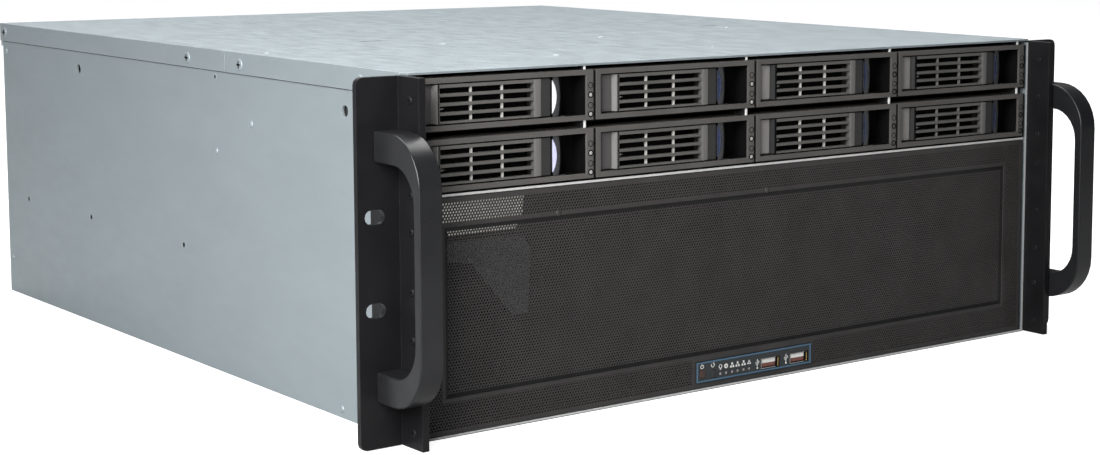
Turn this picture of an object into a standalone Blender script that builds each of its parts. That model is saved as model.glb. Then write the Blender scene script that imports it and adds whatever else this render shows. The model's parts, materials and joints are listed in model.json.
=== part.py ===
"""Four-unit rack enclosure for a network storage server, with eight hot-swap drive bays.

Every size below is in millimetres. X runs to the right of someone facing the front, Y runs
from the front to the back and Z is up. Lengths along Y are counted from the front face of
the rack ears, and place() turns them into metres in the part's own frame, whose origin is
the middle of the footprint.
"""

import math

import bpy
import bmesh
from mathutils import Vector
from mathutils.geometry import delaunay_2d_cdt

INSIDE_WITH_HOLES = 2
MM = 0.001

# Driving dimensions: the 19 inch rack standard, four units high
SHEET = 1.2
GAP = 0.3
EAR_SPAN = 482.6
SLOT_SPAN = 465.1
SLOT_HEIGHTS = (66.7, 111.1)
BODY_WIDTH = 430.0
BODY_FRONT = -2.0
BODY_REAR = 509.2
TOP = 178.0
WALL_TOP = 175.8
RIM_BOTTOM = 166.5
SEAM = 184.0

# Rack ears and bow handles
EAR_BOTTOM, EAR_TOP = 0.3, 176.8
EAR_PLATE = 3.0
FIN_REACH = 18.5
FIN_THICK = 3.6
FLANGE_REACH = 28.0
HANDLE_IN, HANDLE_OUT = 220.1, 232.7
HANDLE_LOW, HANDLE_HIGH = 22.8, 151.8
HANDLE_REACH = 40.5
HANDLE_ARM = 14.8
HANDLE_GRIP = 5.4
HANDLE_CORNER = 25.5
HANDLE_INNER_CORNER = 17.6

# Drive bays: four columns in two rows
COLUMNS, ROWS = 4, 2
BAY_PITCH = 106.2
BAY_RISE = 29.4
BAY_BOTTOM = 120.0
FACE_WIDTH = 105.0
FACE_HEIGHT = 25.4
FACE_FRONT = -2.2
FACE_BACK = 11.4
FRAME = 2.6
RECESS_RIGHT = 100.1
TRAY_REAR = 150.0
HINGE_X, HINGE_Y = 6.4, 3.2
LEVER_END = 80.6
CAGE_FLOOR = 117.6
CAGE_TOP = 176.5
CAGE_REAR = 168.0
DIVIDER = 0.8
DIVIDER_FRONT, DIVIDER_REAR = 12.0, 160.0

# Front grille and control panel
GRILLE_HALF, GRILLE_LOW, GRILLE_HIGH = 211.6, 1.6, 117.2
FIELD_HALF, FIELD_LOW, FIELD_HIGH = 195.5, 19.3, 102.8
PANEL_HALF, PANEL_LOW, PANEL_HIGH = 40.6, 4.7, 15.6
POWER_BUTTON = (-36.85, 9.15, 3.5, 4.3)
RESET_BUTTON = (-29.3, 8.3, 2.6, 3.5)
USB_CENTRES = (11.05, 32.0)
USB_HEIGHT = 8.8
USB_WIDTH, USB_TALL = 13.1, 5.7

# Cooling
MID_FAN = 120.0
MID_FAN_X = (-130.0, 0.0, 130.0)
MID_FAN_Z = 66.0
FAN_WALL_Y = 205.0
REAR_FAN = 80.0
REAR_FAN_X = (-14.0, 69.0)
REAR_FAN_Z = 102.0
FAN_DEPTH = 25.0
FAN_STRUT = 3.0

# Rear panel, power supply and mainboard
REAR_INNER = 508.0
PSU_LEFT, PSU_RIGHT, PSU_LOW, PSU_HIGH = 120.0, 206.0, 6.0, 156.0
PSU_FRONT, PSU_REAR = 368.0, 507.7
PSU_FAN = (163.0, 105.0)
PSU_INLET = (148.0, 28.0)
PSU_ROCKER = (184.0, 28.0)
ROCKER_Y = 505.0
ROCKER_TILT = math.radians(8)
IO_LEFT, IO_RIGHT, IO_LOW, IO_HIGH = -51.9, 106.9, 10.0, 54.5
SLOT_COUNT = 7
SLOT_FIRST, SLOT_PITCH = -68.0, 20.32
BOARD = (-196.0, 109.0, 259.0, 503.0)
BOARD_Z = 8.0
STUD_X = (92.5, -64.9, -189.4)
STUD_Y = (492.8, 337.9, 265.5)
THUMB_X, THUMB_Z = 150.0, 170.0
THUMB_REAR = 518.6

MID_Y = (THUMB_REAR - HANDLE_REACH) / 2

# Colour, roughness and metallic value of each material
PALETTE = {
    "zinc_steel": ((0.45, 0.50, 0.52), 0.42, 0.8),
    "bare_steel": ((0.62, 0.64, 0.65), 0.30, 1.0),
    "black_paint": ((0.012, 0.012, 0.013), 0.40, 0.1),
    "tray_plastic": ((0.045, 0.043, 0.040), 0.45, 0.0),
    "latch_plastic": ((0.08, 0.14, 0.42), 0.30, 0.0),
    "panel_plastic": ((0.030, 0.031, 0.033), 0.35, 0.0),
    "fan_plastic": ((0.015, 0.015, 0.016), 0.50, 0.0),
    "board": ((0.01, 0.06, 0.03), 0.45, 0.0),
    "bright_metal": ((0.70, 0.70, 0.70), 0.20, 1.0),
}


def place(x, y, z):
    """Millimetres from the ears' front plane to metres in the part's frame."""
    return Vector((x, y - MID_Y, z)) * MM


def new_object(name, points, faces):
    """Make a mesh object with its faces turned outwards."""
    mesh = bpy.data.meshes.new(name)
    mesh.from_pydata(points, [], faces)
    shape = bmesh.new()
    shape.from_mesh(mesh)
    bmesh.ops.recalc_face_normals(shape, faces=shape.faces)
    shape.to_mesh(mesh)
    shape.free()
    made = bpy.data.objects.new(name, mesh)
    bpy.context.collection.objects.link(made)
    return made


def box(x0, x1, y0, y1, z0, z1):
    """A plain block between two corners."""
    corners = [place(x, y, z) for x in (x0, x1) for y in (y0, y1) for z in (z0, z1)]
    faces = [(0, 1, 3, 2), (4, 6, 7, 5), (0, 4, 5, 1), (2, 3, 7, 6), (0, 2, 6, 4), (1, 5, 7, 3)]
    return new_object("block", corners, faces)


def prism(loops, axis, low, high):
    """Extrude an outline and its holes along an axis. An outline is in (y, z), (x, z) or (x, y)."""
    points, rings = [], []
    for loop in loops:
        rings.append(list(range(len(points), len(points) + len(loop))))
        points += [Vector(point) for point in loop]
    flat, _, triangles, *_ = delaunay_2d_cdt(points, [], rings, INSIDE_WITH_HOLES, 1e-7)
    lift = {
        "x": lambda u, v, w: place(w, u, v),
        "y": lambda u, v, w: place(u, w, v),
        "z": lambda u, v, w: place(u, v, w),
    }[axis]
    count = len(flat)
    verts = [lift(p.x, p.y, w) for w in (low, high) for p in flat]
    faces = [tuple(t) for t in triangles]
    faces += [tuple(count + i for i in reversed(t)) for t in triangles]
    sides = [(t[i], t[(i + 1) % 3]) for t in triangles for i in range(3)]
    known = set(sides)
    faces += [(b, a, a + count, b + count) for a, b in sides if (b, a) not in known]
    return new_object("prism", verts, faces)


def rect(u0, u1, v0, v1):
    """A rectangle's corners."""
    return [(u0, v0), (u1, v0), (u1, v1), (u0, v1)]


def arc(cu, cv, radius, start, end, steps):
    """Points along an arc, in degrees."""
    angles = [math.radians(start + (end - start) * i / steps) for i in range(steps + 1)]
    return [(cu + radius * math.cos(a), cv + radius * math.sin(a)) for a in angles]


def circle(cu, cv, radius, sides):
    """A regular polygon close to a circle."""
    return arc(cu, cv, radius, 0, 360, sides)[:-1]


def rounded(u0, u1, v0, v1, radius, steps=3):
    """A rectangle with round corners."""
    corners = ((u1, v1, 0), (u0, v1, 90), (u0, v0, 180), (u1, v0, 270))
    middle_u, middle_v = (u0 + u1) / 2, (v0 + v1) / 2
    outline = []
    for u, v, turn in corners:
        cu = u - math.copysign(radius, u - middle_u)
        cv = v - math.copysign(radius, v - middle_v)
        outline += arc(cu, cv, radius, turn, turn + 90, steps)
    return outline


def sector(cu, cv, inner, outer, middle, half, steps):
    """A ring segment, half degrees each way from its middle angle."""
    far = arc(cu, cv, outer, middle - half, middle + half, steps)
    near = arc(cu, cv, inner, middle + half, middle - half, steps)
    return far + near


def combine(base, operation, others):
    """Join pieces to a base, or cut them from it, and keep the result as its mesh."""
    for other in others:
        step = base.modifiers.new("shape", "BOOLEAN")
        step.operation = operation
        step.object = other
    result = base.evaluated_get(bpy.context.evaluated_depsgraph_get())
    mesh = bpy.data.meshes.new_from_object(result)
    base.modifiers.clear()
    base.data = mesh
    for other in others:
        bpy.data.objects.remove(other)
    return base


def join(base, *others):
    """One closed body out of overlapping ones."""
    return combine(base, "UNION", others)


def cut(base, *others):
    """A body with others taken away."""
    return combine(base, "DIFFERENCE", others)


def material(slot):
    """The material of a palette entry, made once."""
    found = bpy.data.materials.get(slot)
    if found:
        return found
    colour, roughness, metallic = PALETTE[slot]
    made = bpy.data.materials.new(slot)
    made.use_nodes = True
    shader = made.node_tree.nodes["Principled BSDF"]
    shader.inputs["Base Color"].default_value = (*colour, 1.0)
    shader.inputs["Roughness"].default_value = roughness
    shader.inputs["Metallic"].default_value = metallic
    return made


def node(name, shape, slot, pivot=None, smooth=False):
    """Name a finished piece, give it its material and set its origin on its joint's axis."""
    shape.name = name
    shape.data.name = name
    shape.data.materials.clear()
    shape.data.materials.append(material(slot))
    if pivot:
        origin = place(*pivot)
        for vertex in shape.data.vertices:
            vertex.co -= origin
        shape.location = origin
    if smooth:
        shape.data.shade_smooth()
        shape.data.set_sharp_from_angle(angle=math.radians(35))
    return shape


def copy_of(source, name, shift):
    """Another object with the same mesh, moved by millimetres."""
    made = bpy.data.objects.new(name, source.data)
    made.location = source.location + Vector(shift) * MM
    bpy.context.collection.objects.link(made)
    return made


# ---------------------------------------------------------------- chassis sheets

def base_tray():
    """Bottom and side walls in one bent sheet, with board studs and top returns."""
    half, inner = BODY_WIDTH / 2, BODY_WIDTH / 2 - SHEET
    profile = [(-half, 0), (half, 0), (half, WALL_TOP), (inner, WALL_TOP), (inner, SHEET),
               (-inner, SHEET), (-inner, WALL_TOP), (-half, WALL_TOP)]
    tray = prism([profile], "y", BODY_FRONT, BODY_REAR)
    returns = [box(*sorted((side * (inner - 12), side * (inner + 0.4))), 200, 507,
                   WALL_TOP - SHEET, WALL_TOP) for side in (-1, 1)]
    studs = [prism([circle(x, y, 3.0, 6)], "z", 0.6, BOARD_Z - GAP) for x in STUD_X for y in STUD_Y]
    join(tray, *returns, *studs)
    rail_holes = [prism([circle(y, 155.4, 3.0, 12)], "x", -half - 2, half + 2) for y in (57.0, 385.0)]
    cut(tray, *rail_holes)
    return node("base_tray", tray, "zinc_steel")


def cover_profile():
    """Section of the top sheets: a flat top with a rim outside each wall."""
    inner = BODY_WIDTH / 2 + GAP
    outer = inner + 0.9
    return [(-outer, RIM_BOTTOM), (-inner, RIM_BOTTOM), (-inner, TOP - SHEET), (inner, TOP - SHEET),
            (inner, RIM_BOTTOM), (outer, RIM_BOTTOM), (outer, TOP), (-outer, TOP)]


def front_cover():
    """Fixed top sheet over the drive cage, with a lowered tongue under the lid."""
    sheet = prism([cover_profile()], "y", EAR_PLATE + 0.4, SEAM - 0.1)
    half = BODY_WIDTH / 2
    lip = box(-half, half, BODY_FRONT, EAR_PLATE + 0.8, TOP - SHEET, TOP)
    step = box(-200, 200, SEAM - 6, SEAM - 0.1, TOP - 2.6, TOP - 0.4)
    tongue = box(-200, 200, SEAM - 6, SEAM + 12, TOP - 2.6, TOP - 1.5)
    return node("front_cover", join(sheet, lip, step, tongue), "zinc_steel")


def rear_lid():
    """Lid that slides back, with a rear flange for the thumbscrews."""
    rear = BODY_REAR + GAP
    sheet = prism([cover_profile()], "y", SEAM + 0.2, rear + SHEET)
    half = BODY_WIDTH / 2 + 0.7
    flange = prism([rect(-half, half, 163, TOP - 0.5),
                    circle(-THUMB_X, THUMB_Z, 2.2, 12), circle(THUMB_X, THUMB_Z, 2.2, 12)],
                   "y", rear, rear + SHEET)
    return node("rear_lid", join(sheet, flange), "zinc_steel", pivot=(0, SEAM, TOP))


def thumbscrews():
    """Knurled captive screws that hold the lid's flange to the rear panel."""
    for side, x in (("left", -THUMB_X), ("right", THUMB_X)):
        knob = prism([circle(x, THUMB_Z, 5.5, 24)], "y", 511.0, THUMB_REAR)
        shank = prism([circle(x, THUMB_Z, 1.8, 12)], "y", 505.0, 511.4)
        node("thumbscrew_" + side, join(knob, shank), "bright_metal", pivot=(x, 511, THUMB_Z), smooth=True)


def fan_guard(cx, cz):
    """Stamped guard: three rings of slots."""
    rings = ((12.0, 18.5), (20.5, 27.0), (29.0, 36.5))
    return [sector(cx, cz, inner, outer, 45 + 90 * quarter, 45 - math.degrees(2.0 / inner), 4)
            for inner, outer in rings for quarter in range(4)]


def slot_x():
    """Middle of each expansion slot."""
    return [SLOT_FIRST - SLOT_PITCH * i for i in range(SLOT_COUNT)]


def rear_panel():
    """Back wall with its cut-outs."""
    half = BODY_WIDTH / 2 - SHEET - GAP
    loops = [rect(-half, half, 1.5, 175.5), rect(123, 203, 9, 153),
             rect(IO_LEFT, IO_RIGHT, IO_LOW, IO_HIGH),
             circle(-THUMB_X, THUMB_Z, 2.2, 12), circle(THUMB_X, THUMB_Z, 2.2, 12)]
    loops += [rect(x - 6.1, x + 6.1, 14, 118) for x in slot_x()]
    for x in REAR_FAN_X:
        loops += fan_guard(x, REAR_FAN_Z)
    return node("rear_panel", prism(loops, "y", REAR_INNER, BODY_REAR), "zinc_steel")


def slot_covers():
    """Blank expansion brackets under their common clamp bar."""
    centres = sorted(slot_x())
    left, right = centres[0] - 9.2, centres[-1] + 9.2
    outline = [(left, 126), (left, 9)]
    for here, following in zip(centres, centres[1:]):
        outline += [(here + 9.2, 9), (here + 9.2, 120), (following - 9.2, 120), (following - 9.2, 9)]
    outline += [(right, 9), (right, 126)]
    plate = prism([outline], "y", 506.8, REAR_INNER - GAP)
    clamp = box(left, right, 494, 507.4, 124.8, 126)
    return node("slot_covers", join(plate, clamp), "bare_steel")


# ---------------------------------------------------------------- ears and handles

def ear(side, name):
    """Rack ear: slotted plate, forward fin and the flange screwed to the wall."""
    wall = BODY_WIDTH / 2 + GAP
    edge = EAR_SPAN / 2
    outline = rounded(wall + 1, edge, EAR_BOTTOM, EAR_TOP, 3.5)
    slots = [rounded(SLOT_SPAN / 2 - 5.6, SLOT_SPAN / 2 + 5.0, z - 3.5, z + 3.5, 3.45)
             for z in SLOT_HEIGHTS]
    loops = [[(side * x, z) for x, z in loop] for loop in (outline, *slots)]
    plate = prism(loops, "y", 0, EAR_PLATE)
    fin = box(*sorted((side * wall, side * (wall + FIN_THICK))), -FIN_REACH, EAR_PLATE,
              EAR_BOTTOM, EAR_TOP)
    flange = box(*sorted((side * wall, side * (wall + EAR_PLATE))), EAR_PLATE - 1, FLANGE_REACH,
                 6, RIM_BOTTOM - 0.5)
    return node(name, join(fin, plate, flange), "black_paint")


def handle(side, name):
    """Bow handle: thick arms that thin towards a flat grip."""
    front, low, high = -HANDLE_REACH, HANDLE_LOW, HANDLE_HIGH
    out, inner = HANDLE_CORNER, HANDLE_INNER_CORNER
    back = -GAP
    outline = [(back, low)]
    outline += arc(front + out, low + out, out, 270, 180, 8)
    outline += arc(front + out, high - out, out, 180, 90, 8)
    outline += [(back, high), (back, high - HANDLE_ARM)]
    inner_y = front + HANDLE_GRIP + inner
    outline += arc(inner_y, high - HANDLE_ARM - inner, inner, 90, 180, 7)
    outline += arc(inner_y, low + HANDLE_ARM + inner, inner, 180, 270, 7)
    outline += [(back, low + HANDLE_ARM)]
    bow = prism([outline], "x", *sorted((side * HANDLE_IN, side * HANDLE_OUT)))
    return node(name, bow, "black_paint", smooth=True)


# ---------------------------------------------------------------- drive bays

def bay_corner(column, row):
    """Lower left corner of a bay's face. Row 0 is the upper one."""
    left = (column - COLUMNS / 2) * BAY_PITCH + (BAY_PITCH - FACE_WIDTH) / 2
    return left, BAY_BOTTOM + (ROWS - 1 - row) * BAY_RISE


def drive_cage():
    """Sheet cage: floor, walls, dividers, shelf and top straps."""
    half = BODY_WIDTH / 2 - SHEET - 0.6
    shelf_z = BAY_BOTTOM + BAY_RISE - 2.5
    cage = box(-half, half, BODY_FRONT + 0.6, CAGE_REAR, CAGE_FLOOR, CAGE_FLOOR + SHEET)
    parts = [box(*sorted((side * half, side * (half - DIVIDER))), DIVIDER_FRONT, DIVIDER_REAR,
                 CAGE_FLOOR, CAGE_TOP) for side in (-1, 1)]
    parts += [box(x - DIVIDER / 2, x + DIVIDER / 2, DIVIDER_FRONT, DIVIDER_REAR, CAGE_FLOOR, CAGE_TOP)
              for x in (-BAY_PITCH, 0, BAY_PITCH)]
    parts.append(box(-half, half, DIVIDER_FRONT, DIVIDER_REAR, shelf_z, shelf_z + DIVIDER))
    for y0, y1 in ((DIVIDER_FRONT, 24), (82, 94), (148, DIVIDER_REAR)):
        parts.append(box(-half, half, y0, y1, CAGE_TOP - DIVIDER, CAGE_TOP))
    return node("drive_cage", join(cage, *parts), "bare_steel")


def backplane():
    """Board at the back of the cage, with a connector for each bay and air windows."""
    half = 210.0
    windows, sockets = [], []
    for column in range(COLUMNS):
        for row in range(ROWS):
            left, bottom = bay_corner(column, row)
            windows.append(rect(left + 8, left + 49, bottom + 3.5, bottom + 21.5))
            sockets.append(box(left + 52, left + 96, 155, 163.4, bottom + 7, bottom + 15))
    board = prism([rect(-half, half, 121, 173)] + windows, "y", 163, 164.6)
    return node("backplane", join(board, *sockets), "board")


def tray():
    """Drive tray of the first bay: face frame, finger recess, rails and floor."""
    left, low = bay_corner(0, 0)
    face = [rect(left, left + FACE_WIDTH, low, low + FACE_HEIGHT),
            rect(left + FRAME, left + RECESS_RIGHT, low + FRAME, low + FACE_HEIGHT - FRAME)]
    frame = prism(face, "y", FACE_FRONT, FACE_BACK)
    wall = prism([rect(left + 1, left + FACE_WIDTH - 1, low + 1, low + FACE_HEIGHT - 1),
                  rect(left + 13, left + 70, low + 5, low + 20.4)], "y", FACE_BACK - 1.5, FACE_BACK - 0.1)
    rails = [box(left + u, left + u + 1.2, FACE_BACK - 1, TRAY_REAR, low - 0.7, low + 20)
             for u in (0.3, FACE_WIDTH - 1.5)]
    floor = box(left + 0.6, left + FACE_WIDTH - 0.6, FACE_BACK - 2, TRAY_REAR - 0.5, low - 0.6, low + 0.2)
    pins = [prism([circle(left + HINGE_X, HINGE_Y, 1.0, 10)], "z", z, z + 2.2)
            for z in (low + FRAME - 0.4, low + FACE_HEIGHT - FRAME - 1.8)]
    return join(frame, wall, *rails, floor, *pins)


def lever():
    """Ventilated lever of the first bay: louvred plate, hinge hub and latch end."""
    left, low = bay_corner(0, 0)
    z0, z1 = low + 3.0, low + FACE_HEIGHT - 3.0
    columns = ((14.2, 31.8), (33.8, 49.8), (51.7, 68.3))
    windows = [rect(left + u0, left + u1, low + 4.4 + 4.45 * i, low + 7.1 + 4.45 * i)
               for u0, u1 in columns for i in range(4)]
    plate = prism([rect(left + 13.2, left + 70, z0, z1)] + windows, "y", -1.9, 1.0)
    hub = [(4.2, 0.6), (11.2, 0.6), (12.6, -1.9), (13.6, -1.9), (13.6, 1.0), (9.4, 5.0)]
    hub += arc(HINGE_X, HINGE_Y, 2.6, 45, 180, 5)
    hub = prism([[(left + u, y) for u, y in hub]], "z", z0, z1)
    end = [(69.6, -1.9), (73.4, -0.9), (LEVER_END, -0.9), (LEVER_END, 6.6), (75, 6.6), (73, 1), (69.6, 1)]
    end = prism([[(left + u, y) for u, y in end]], "z", z0, z1)
    join(plate, hub, end)
    holes = [prism([circle(left + HINGE_X, HINGE_Y, 1.3, 10)], "z", z, z + 3) for z in (z0 - 1, z1 - 2)]
    pocket = box(left + 75.9, left + LEVER_END + 1, 3.0, 6.0, low + 7.7, low + 17.7)
    return cut(plate, *holes, pocket)


def latch():
    """Sprung catch of the first bay: a lens-shaped finger piece on a tongue."""
    left, low = bay_corner(0, 0)
    rise, reach = 9.4, 3.2
    radius = (rise ** 2 + reach ** 2) / (2 * reach)
    half = math.degrees(math.asin(rise / radius))
    lens = arc(left + 85.0 - radius, low + 12.7, radius, -half, half, 8)
    head = prism([lens], "y", 2.8, 7.5)
    tongue = box(left + 77.2, left + 83.6, 3.3, 5.7, low + 8, low + 17.4)
    return join(head, tongue)


def drive_bays():
    """Eight trays with their levers and latches, numbered along the upper row first."""
    left, low = bay_corner(0, 0)
    middle = (left + FACE_WIDTH / 2, FACE_FRONT, low + FACE_HEIGHT / 2)
    hinge = (left + HINGE_X, HINGE_Y, low + FACE_HEIGHT / 2)
    catch = (left + LEVER_END, 4.5, low + 12.7)
    first = (
        node("bay_1_tray", tray(), "tray_plastic", pivot=middle),
        node("bay_1_lever", lever(), "tray_plastic", pivot=hinge),
        node("bay_1_latch", latch(), "latch_plastic", pivot=catch, smooth=True),
    )
    for number in range(1, COLUMNS * ROWS):
        row, column = divmod(number, COLUMNS)
        x, z = bay_corner(column, row)
        for piece, source in zip(("tray", "lever", "latch"), first):
            copy_of(source, f"bay_{number + 1}_{piece}", (x - left, 0, z - low))


# ---------------------------------------------------------------- lower front

def front_grille():
    """Perforated front sheet with a sunken field, bent back around its edge."""
    panel_hole = rect(-PANEL_HALF - GAP, PANEL_HALF + GAP, PANEL_LOW - GAP, PANEL_HIGH + GAP)
    border = prism([rect(-GRILLE_HALF, GRILLE_HALF, GRILLE_LOW, GRILLE_HIGH),
                    rect(-FIELD_HALF, FIELD_HALF, FIELD_LOW, FIELD_HIGH), panel_hole],
                   "y", BODY_FRONT, BODY_FRONT + 1)
    field = box(-FIELD_HALF - 1, FIELD_HALF + 1, BODY_FRONT + 0.8, BODY_FRONT + 1.8,
                FIELD_LOW - 1, FIELD_HIGH + 1)
    hem = prism([rect(-GRILLE_HALF, GRILLE_HALF, GRILLE_LOW, GRILLE_HIGH),
                 rect(-GRILLE_HALF + 1, GRILLE_HALF - 1, GRILLE_LOW + 1, GRILLE_HIGH - 1)],
                "y", BODY_FRONT + 0.5, BODY_FRONT + 11)
    return node("front_grille", join(border, field, hem), "black_paint")


def around(centre_x, centre_z, width, height, spare):
    """A rectangle around a piece, with spare room on each side."""
    u, v = width / 2 + spare, height / 2 + spare
    return rect(centre_x - u, centre_x + u, centre_z - v, centre_z + v)


def control_panel():
    """Panel housing with its button and socket cut-outs."""
    outer = rect(-PANEL_HALF, PANEL_HALF, PANEL_LOW, PANEL_HIGH)
    holes = [around(*POWER_BUTTON, 0.2), around(*RESET_BUTTON, 0.2)]
    holes += [around(x, USB_HEIGHT, USB_WIDTH, USB_TALL, GAP) for x in USB_CENTRES]
    face = prism([outer] + holes, "y", BODY_FRONT - 0.7, 0.3)
    inside = rect(-PANEL_HALF + 1, PANEL_HALF - 1, PANEL_LOW + 0.9, PANEL_HIGH - 0.9)
    shroud = prism([outer, inside], "y", 0, 12)
    return node("control_panel", join(face, shroud), "panel_plastic")


def push_button(name, centre_x, centre_z, width, height):
    """Push button with a shoulder behind the panel's face."""
    cap = box(centre_x - width / 2, centre_x + width / 2, BODY_FRONT - 1.2, 1.8,
              centre_z - height / 2, centre_z + height / 2)
    bottom = max(centre_z - height / 2 - 0.8, PANEL_LOW + 1.1)
    shoulder = box(centre_x - width / 2 - 0.6, centre_x + width / 2 + 0.6, 0.9, 2.1,
                   bottom, centre_z + height / 2 + 0.8)
    return node(name, join(cap, shoulder), "panel_plastic", pivot=(centre_x, BODY_FRONT, centre_z))


def usb_socket(name, x):
    """USB type A socket: folded shell and its tongue."""
    half, tall, wall = USB_WIDTH / 2, USB_TALL / 2, 0.4
    outer = rect(x - half, x + half, USB_HEIGHT - tall, USB_HEIGHT + tall)
    inner = rect(x - half + wall, x + half - wall, USB_HEIGHT - tall + wall, USB_HEIGHT + tall - wall)
    shell = prism([outer, inner], "y", BODY_FRONT - 0.5, 14)
    back = box(x - half + 0.2, x + half - 0.2, 12, 13.9, USB_HEIGHT - tall + 0.2, USB_HEIGHT + tall - 0.2)
    tongue = box(x - 5.5, x + 5.5, BODY_FRONT + 0.6, 12.5, USB_HEIGHT + 0.3, USB_HEIGHT + 2.1)
    return node(name, join(shell, back, tongue), "bright_metal")


# ---------------------------------------------------------------- cooling

def fan_wall():
    """Cross wall that carries the three middle fans."""
    half = BODY_WIDTH / 2 - SHEET - 0.6
    loops = [rect(-half, half, 1.5, 150)] + [circle(x, MID_FAN_Z, 56.5, 28) for x in MID_FAN_X]
    wall = prism(loops, "y", FAN_WALL_Y, FAN_WALL_Y + SHEET)
    top = box(-half, half, FAN_WALL_Y + 0.3, FAN_WALL_Y + 14, 148.8, 150)
    return node("fan_wall", join(wall, top), "bare_steel")


def fan_frame(name, cx, cz, size, front):
    """Fan housing with a motor seat on four struts at its outlet side."""
    half, bore, hub = size / 2, size / 2 - 2, size / 6
    shell = prism([rounded(cx - half, cx + half, cz - half, cz + half, 4), circle(cx, cz, bore, 28)],
                  "y", front, front + FAN_DEPTH)
    gaps = [sector(cx, cz, hub, bore - 0.6, 90 * i, 41, 6) for i in range(4)]
    spider = prism([circle(cx, cz, bore + 1, 28)] + gaps, "y", front + FAN_DEPTH - FAN_STRUT,
                   front + FAN_DEPTH - 0.1)
    return node(name, join(shell, spider), "fan_plastic")


def fan_rotor(name, cx, cz, size, front, depth):
    """Hub with seven swept blades, turning about the fan's axis."""
    hub_radius, tip = size / 6, size / 2 - 3.2
    hub = prism([circle(cx, cz, hub_radius, 24)], "y", front, front + depth)
    blades = []
    for number in range(7):
        turn = 2 * math.pi * number / 7
        points = []
        for share, sweep, chord in ((0.0, 0.0, 0.42), (0.5, 0.16, 0.52), (1.0, 0.38, 0.56)):
            radius = hub_radius - 1.0 + (tip - hub_radius + 1.0) * share
            for lead, y in ((0.0, front + 1.5), (chord, front + depth - 1.5)):
                for offset in (-0.8, 0.8):
                    angle = turn + sweep + lead
                    points.append(place(cx + radius * math.cos(angle), y + offset,
                                        cz + radius * math.sin(angle)))
        faces = [(0, 1, 3, 2), (8, 10, 11, 9)]
        for a in (0, 4):
            b = a + 4
            faces += [(a + 1, b + 1, b + 3), (a + 1, b + 3, a + 3), (a, b + 2, b), (a, a + 2, b + 2),
                      (a, b, b + 1, a + 1), (a + 2, a + 3, b + 3, b + 2)]
        blades.append(new_object("blade", points, faces))
    return node(name, join(hub, *blades), "fan_plastic", pivot=(cx, front, cz))


def fans():
    """Three fans in the middle wall and two behind the rear panel."""
    seat = FAN_STRUT + GAP
    front = FAN_WALL_Y + SHEET + GAP
    for label, x in zip(("left", "centre", "right"), MID_FAN_X):
        fan_frame("mid_fan_" + label, x, MID_FAN_Z, MID_FAN, front)
        fan_rotor("mid_rotor_" + label, x, MID_FAN_Z, MID_FAN, front + 2, FAN_DEPTH - 2 - seat)
    front = REAR_INNER - GAP - FAN_DEPTH
    for label, x in zip(("left", "right"), REAR_FAN_X):
        fan_frame("rear_fan_" + label, x, REAR_FAN_Z, REAR_FAN, front)
        fan_rotor("rear_rotor_" + label, x, REAR_FAN_Z, REAR_FAN, front + 2, FAN_DEPTH - 2 - seat)


# ---------------------------------------------------------------- power supply

def psu_case():
    """Power supply's steel case with its fan outlet, inlet and switch openings."""
    outer = rect(PSU_LEFT, PSU_RIGHT, PSU_LOW, PSU_HIGH)
    inner = rect(PSU_LEFT + 1, PSU_RIGHT - 1, PSU_LOW + 1, PSU_HIGH - 1)
    lining = rect(PSU_LEFT + 0.5, PSU_RIGHT - 0.5, PSU_LOW + 0.5, PSU_HIGH - 0.5)
    tube = prism([outer, inner], "y", PSU_FRONT, PSU_REAR)
    outlet = [sector(*PSU_FAN, 12, 36, 90 * i, 40, 7) for i in range(4)]
    openings = [around(*PSU_INLET, 27.2, 19.6, GAP), around(*PSU_ROCKER, 12.8, 19.8, GAP)]
    rear = prism([lining] + outlet + openings, "y", PSU_REAR - 1, PSU_REAR - 0.1)
    vents = [rect(PSU_LEFT + 10, PSU_RIGHT - 10, z, z + 10) for z in range(20, 140, 20)]
    front = prism([lining] + vents, "y", PSU_FRONT + 0.1, PSU_FRONT + 1)
    motor = prism([circle(*PSU_FAN, 8, 12)], "y", 501, PSU_REAR - 0.5)
    return node("psu_case", join(tube, rear, front, motor), "zinc_steel")


def psu_inlet():
    """Mains inlet with its three pins."""
    x, z = PSU_INLET
    shell = prism([rect(x - 13.6, x + 13.6, z - 9.8, z + 9.8),
                   [(x - 12, z - 8), (x + 12, z - 8), (x + 12, z + 4), (x + 8, z + 8),
                    (x - 8, z + 8), (x - 12, z + 4)]], "y", 488, BODY_REAR)
    back = box(x - 13, x + 13, 488.1, 490, z - 9, z + 9)
    pins = [box(x + u - 1, x + u + 1, 489, 504, z + v - 2, z + v + 2) for u, v in ((-7, -2), (0, 2), (7, -2))]
    return node("psu_inlet", join(shell, back, *pins), "panel_plastic")


def psu_rocker():
    """Mains rocker, resting with its lower end pressed in."""
    x, z = PSU_ROCKER
    section = [(4.4, 9.2), (3.0, 0), (4.4, -9.2), (-1.0, -9.0), (-5, -3), (-5, 3), (-1.0, 9.0)]
    turned = [(ROCKER_Y + y * math.cos(ROCKER_TILT) - v * math.sin(ROCKER_TILT),
               z + y * math.sin(ROCKER_TILT) + v * math.cos(ROCKER_TILT)) for y, v in section]
    rocker = prism([turned], "x", x - 6.1, x + 6.1)
    return node("psu_rocker", rocker, "panel_plastic", pivot=(x, ROCKER_Y, z))


# ---------------------------------------------------------------- mainboard

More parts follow.
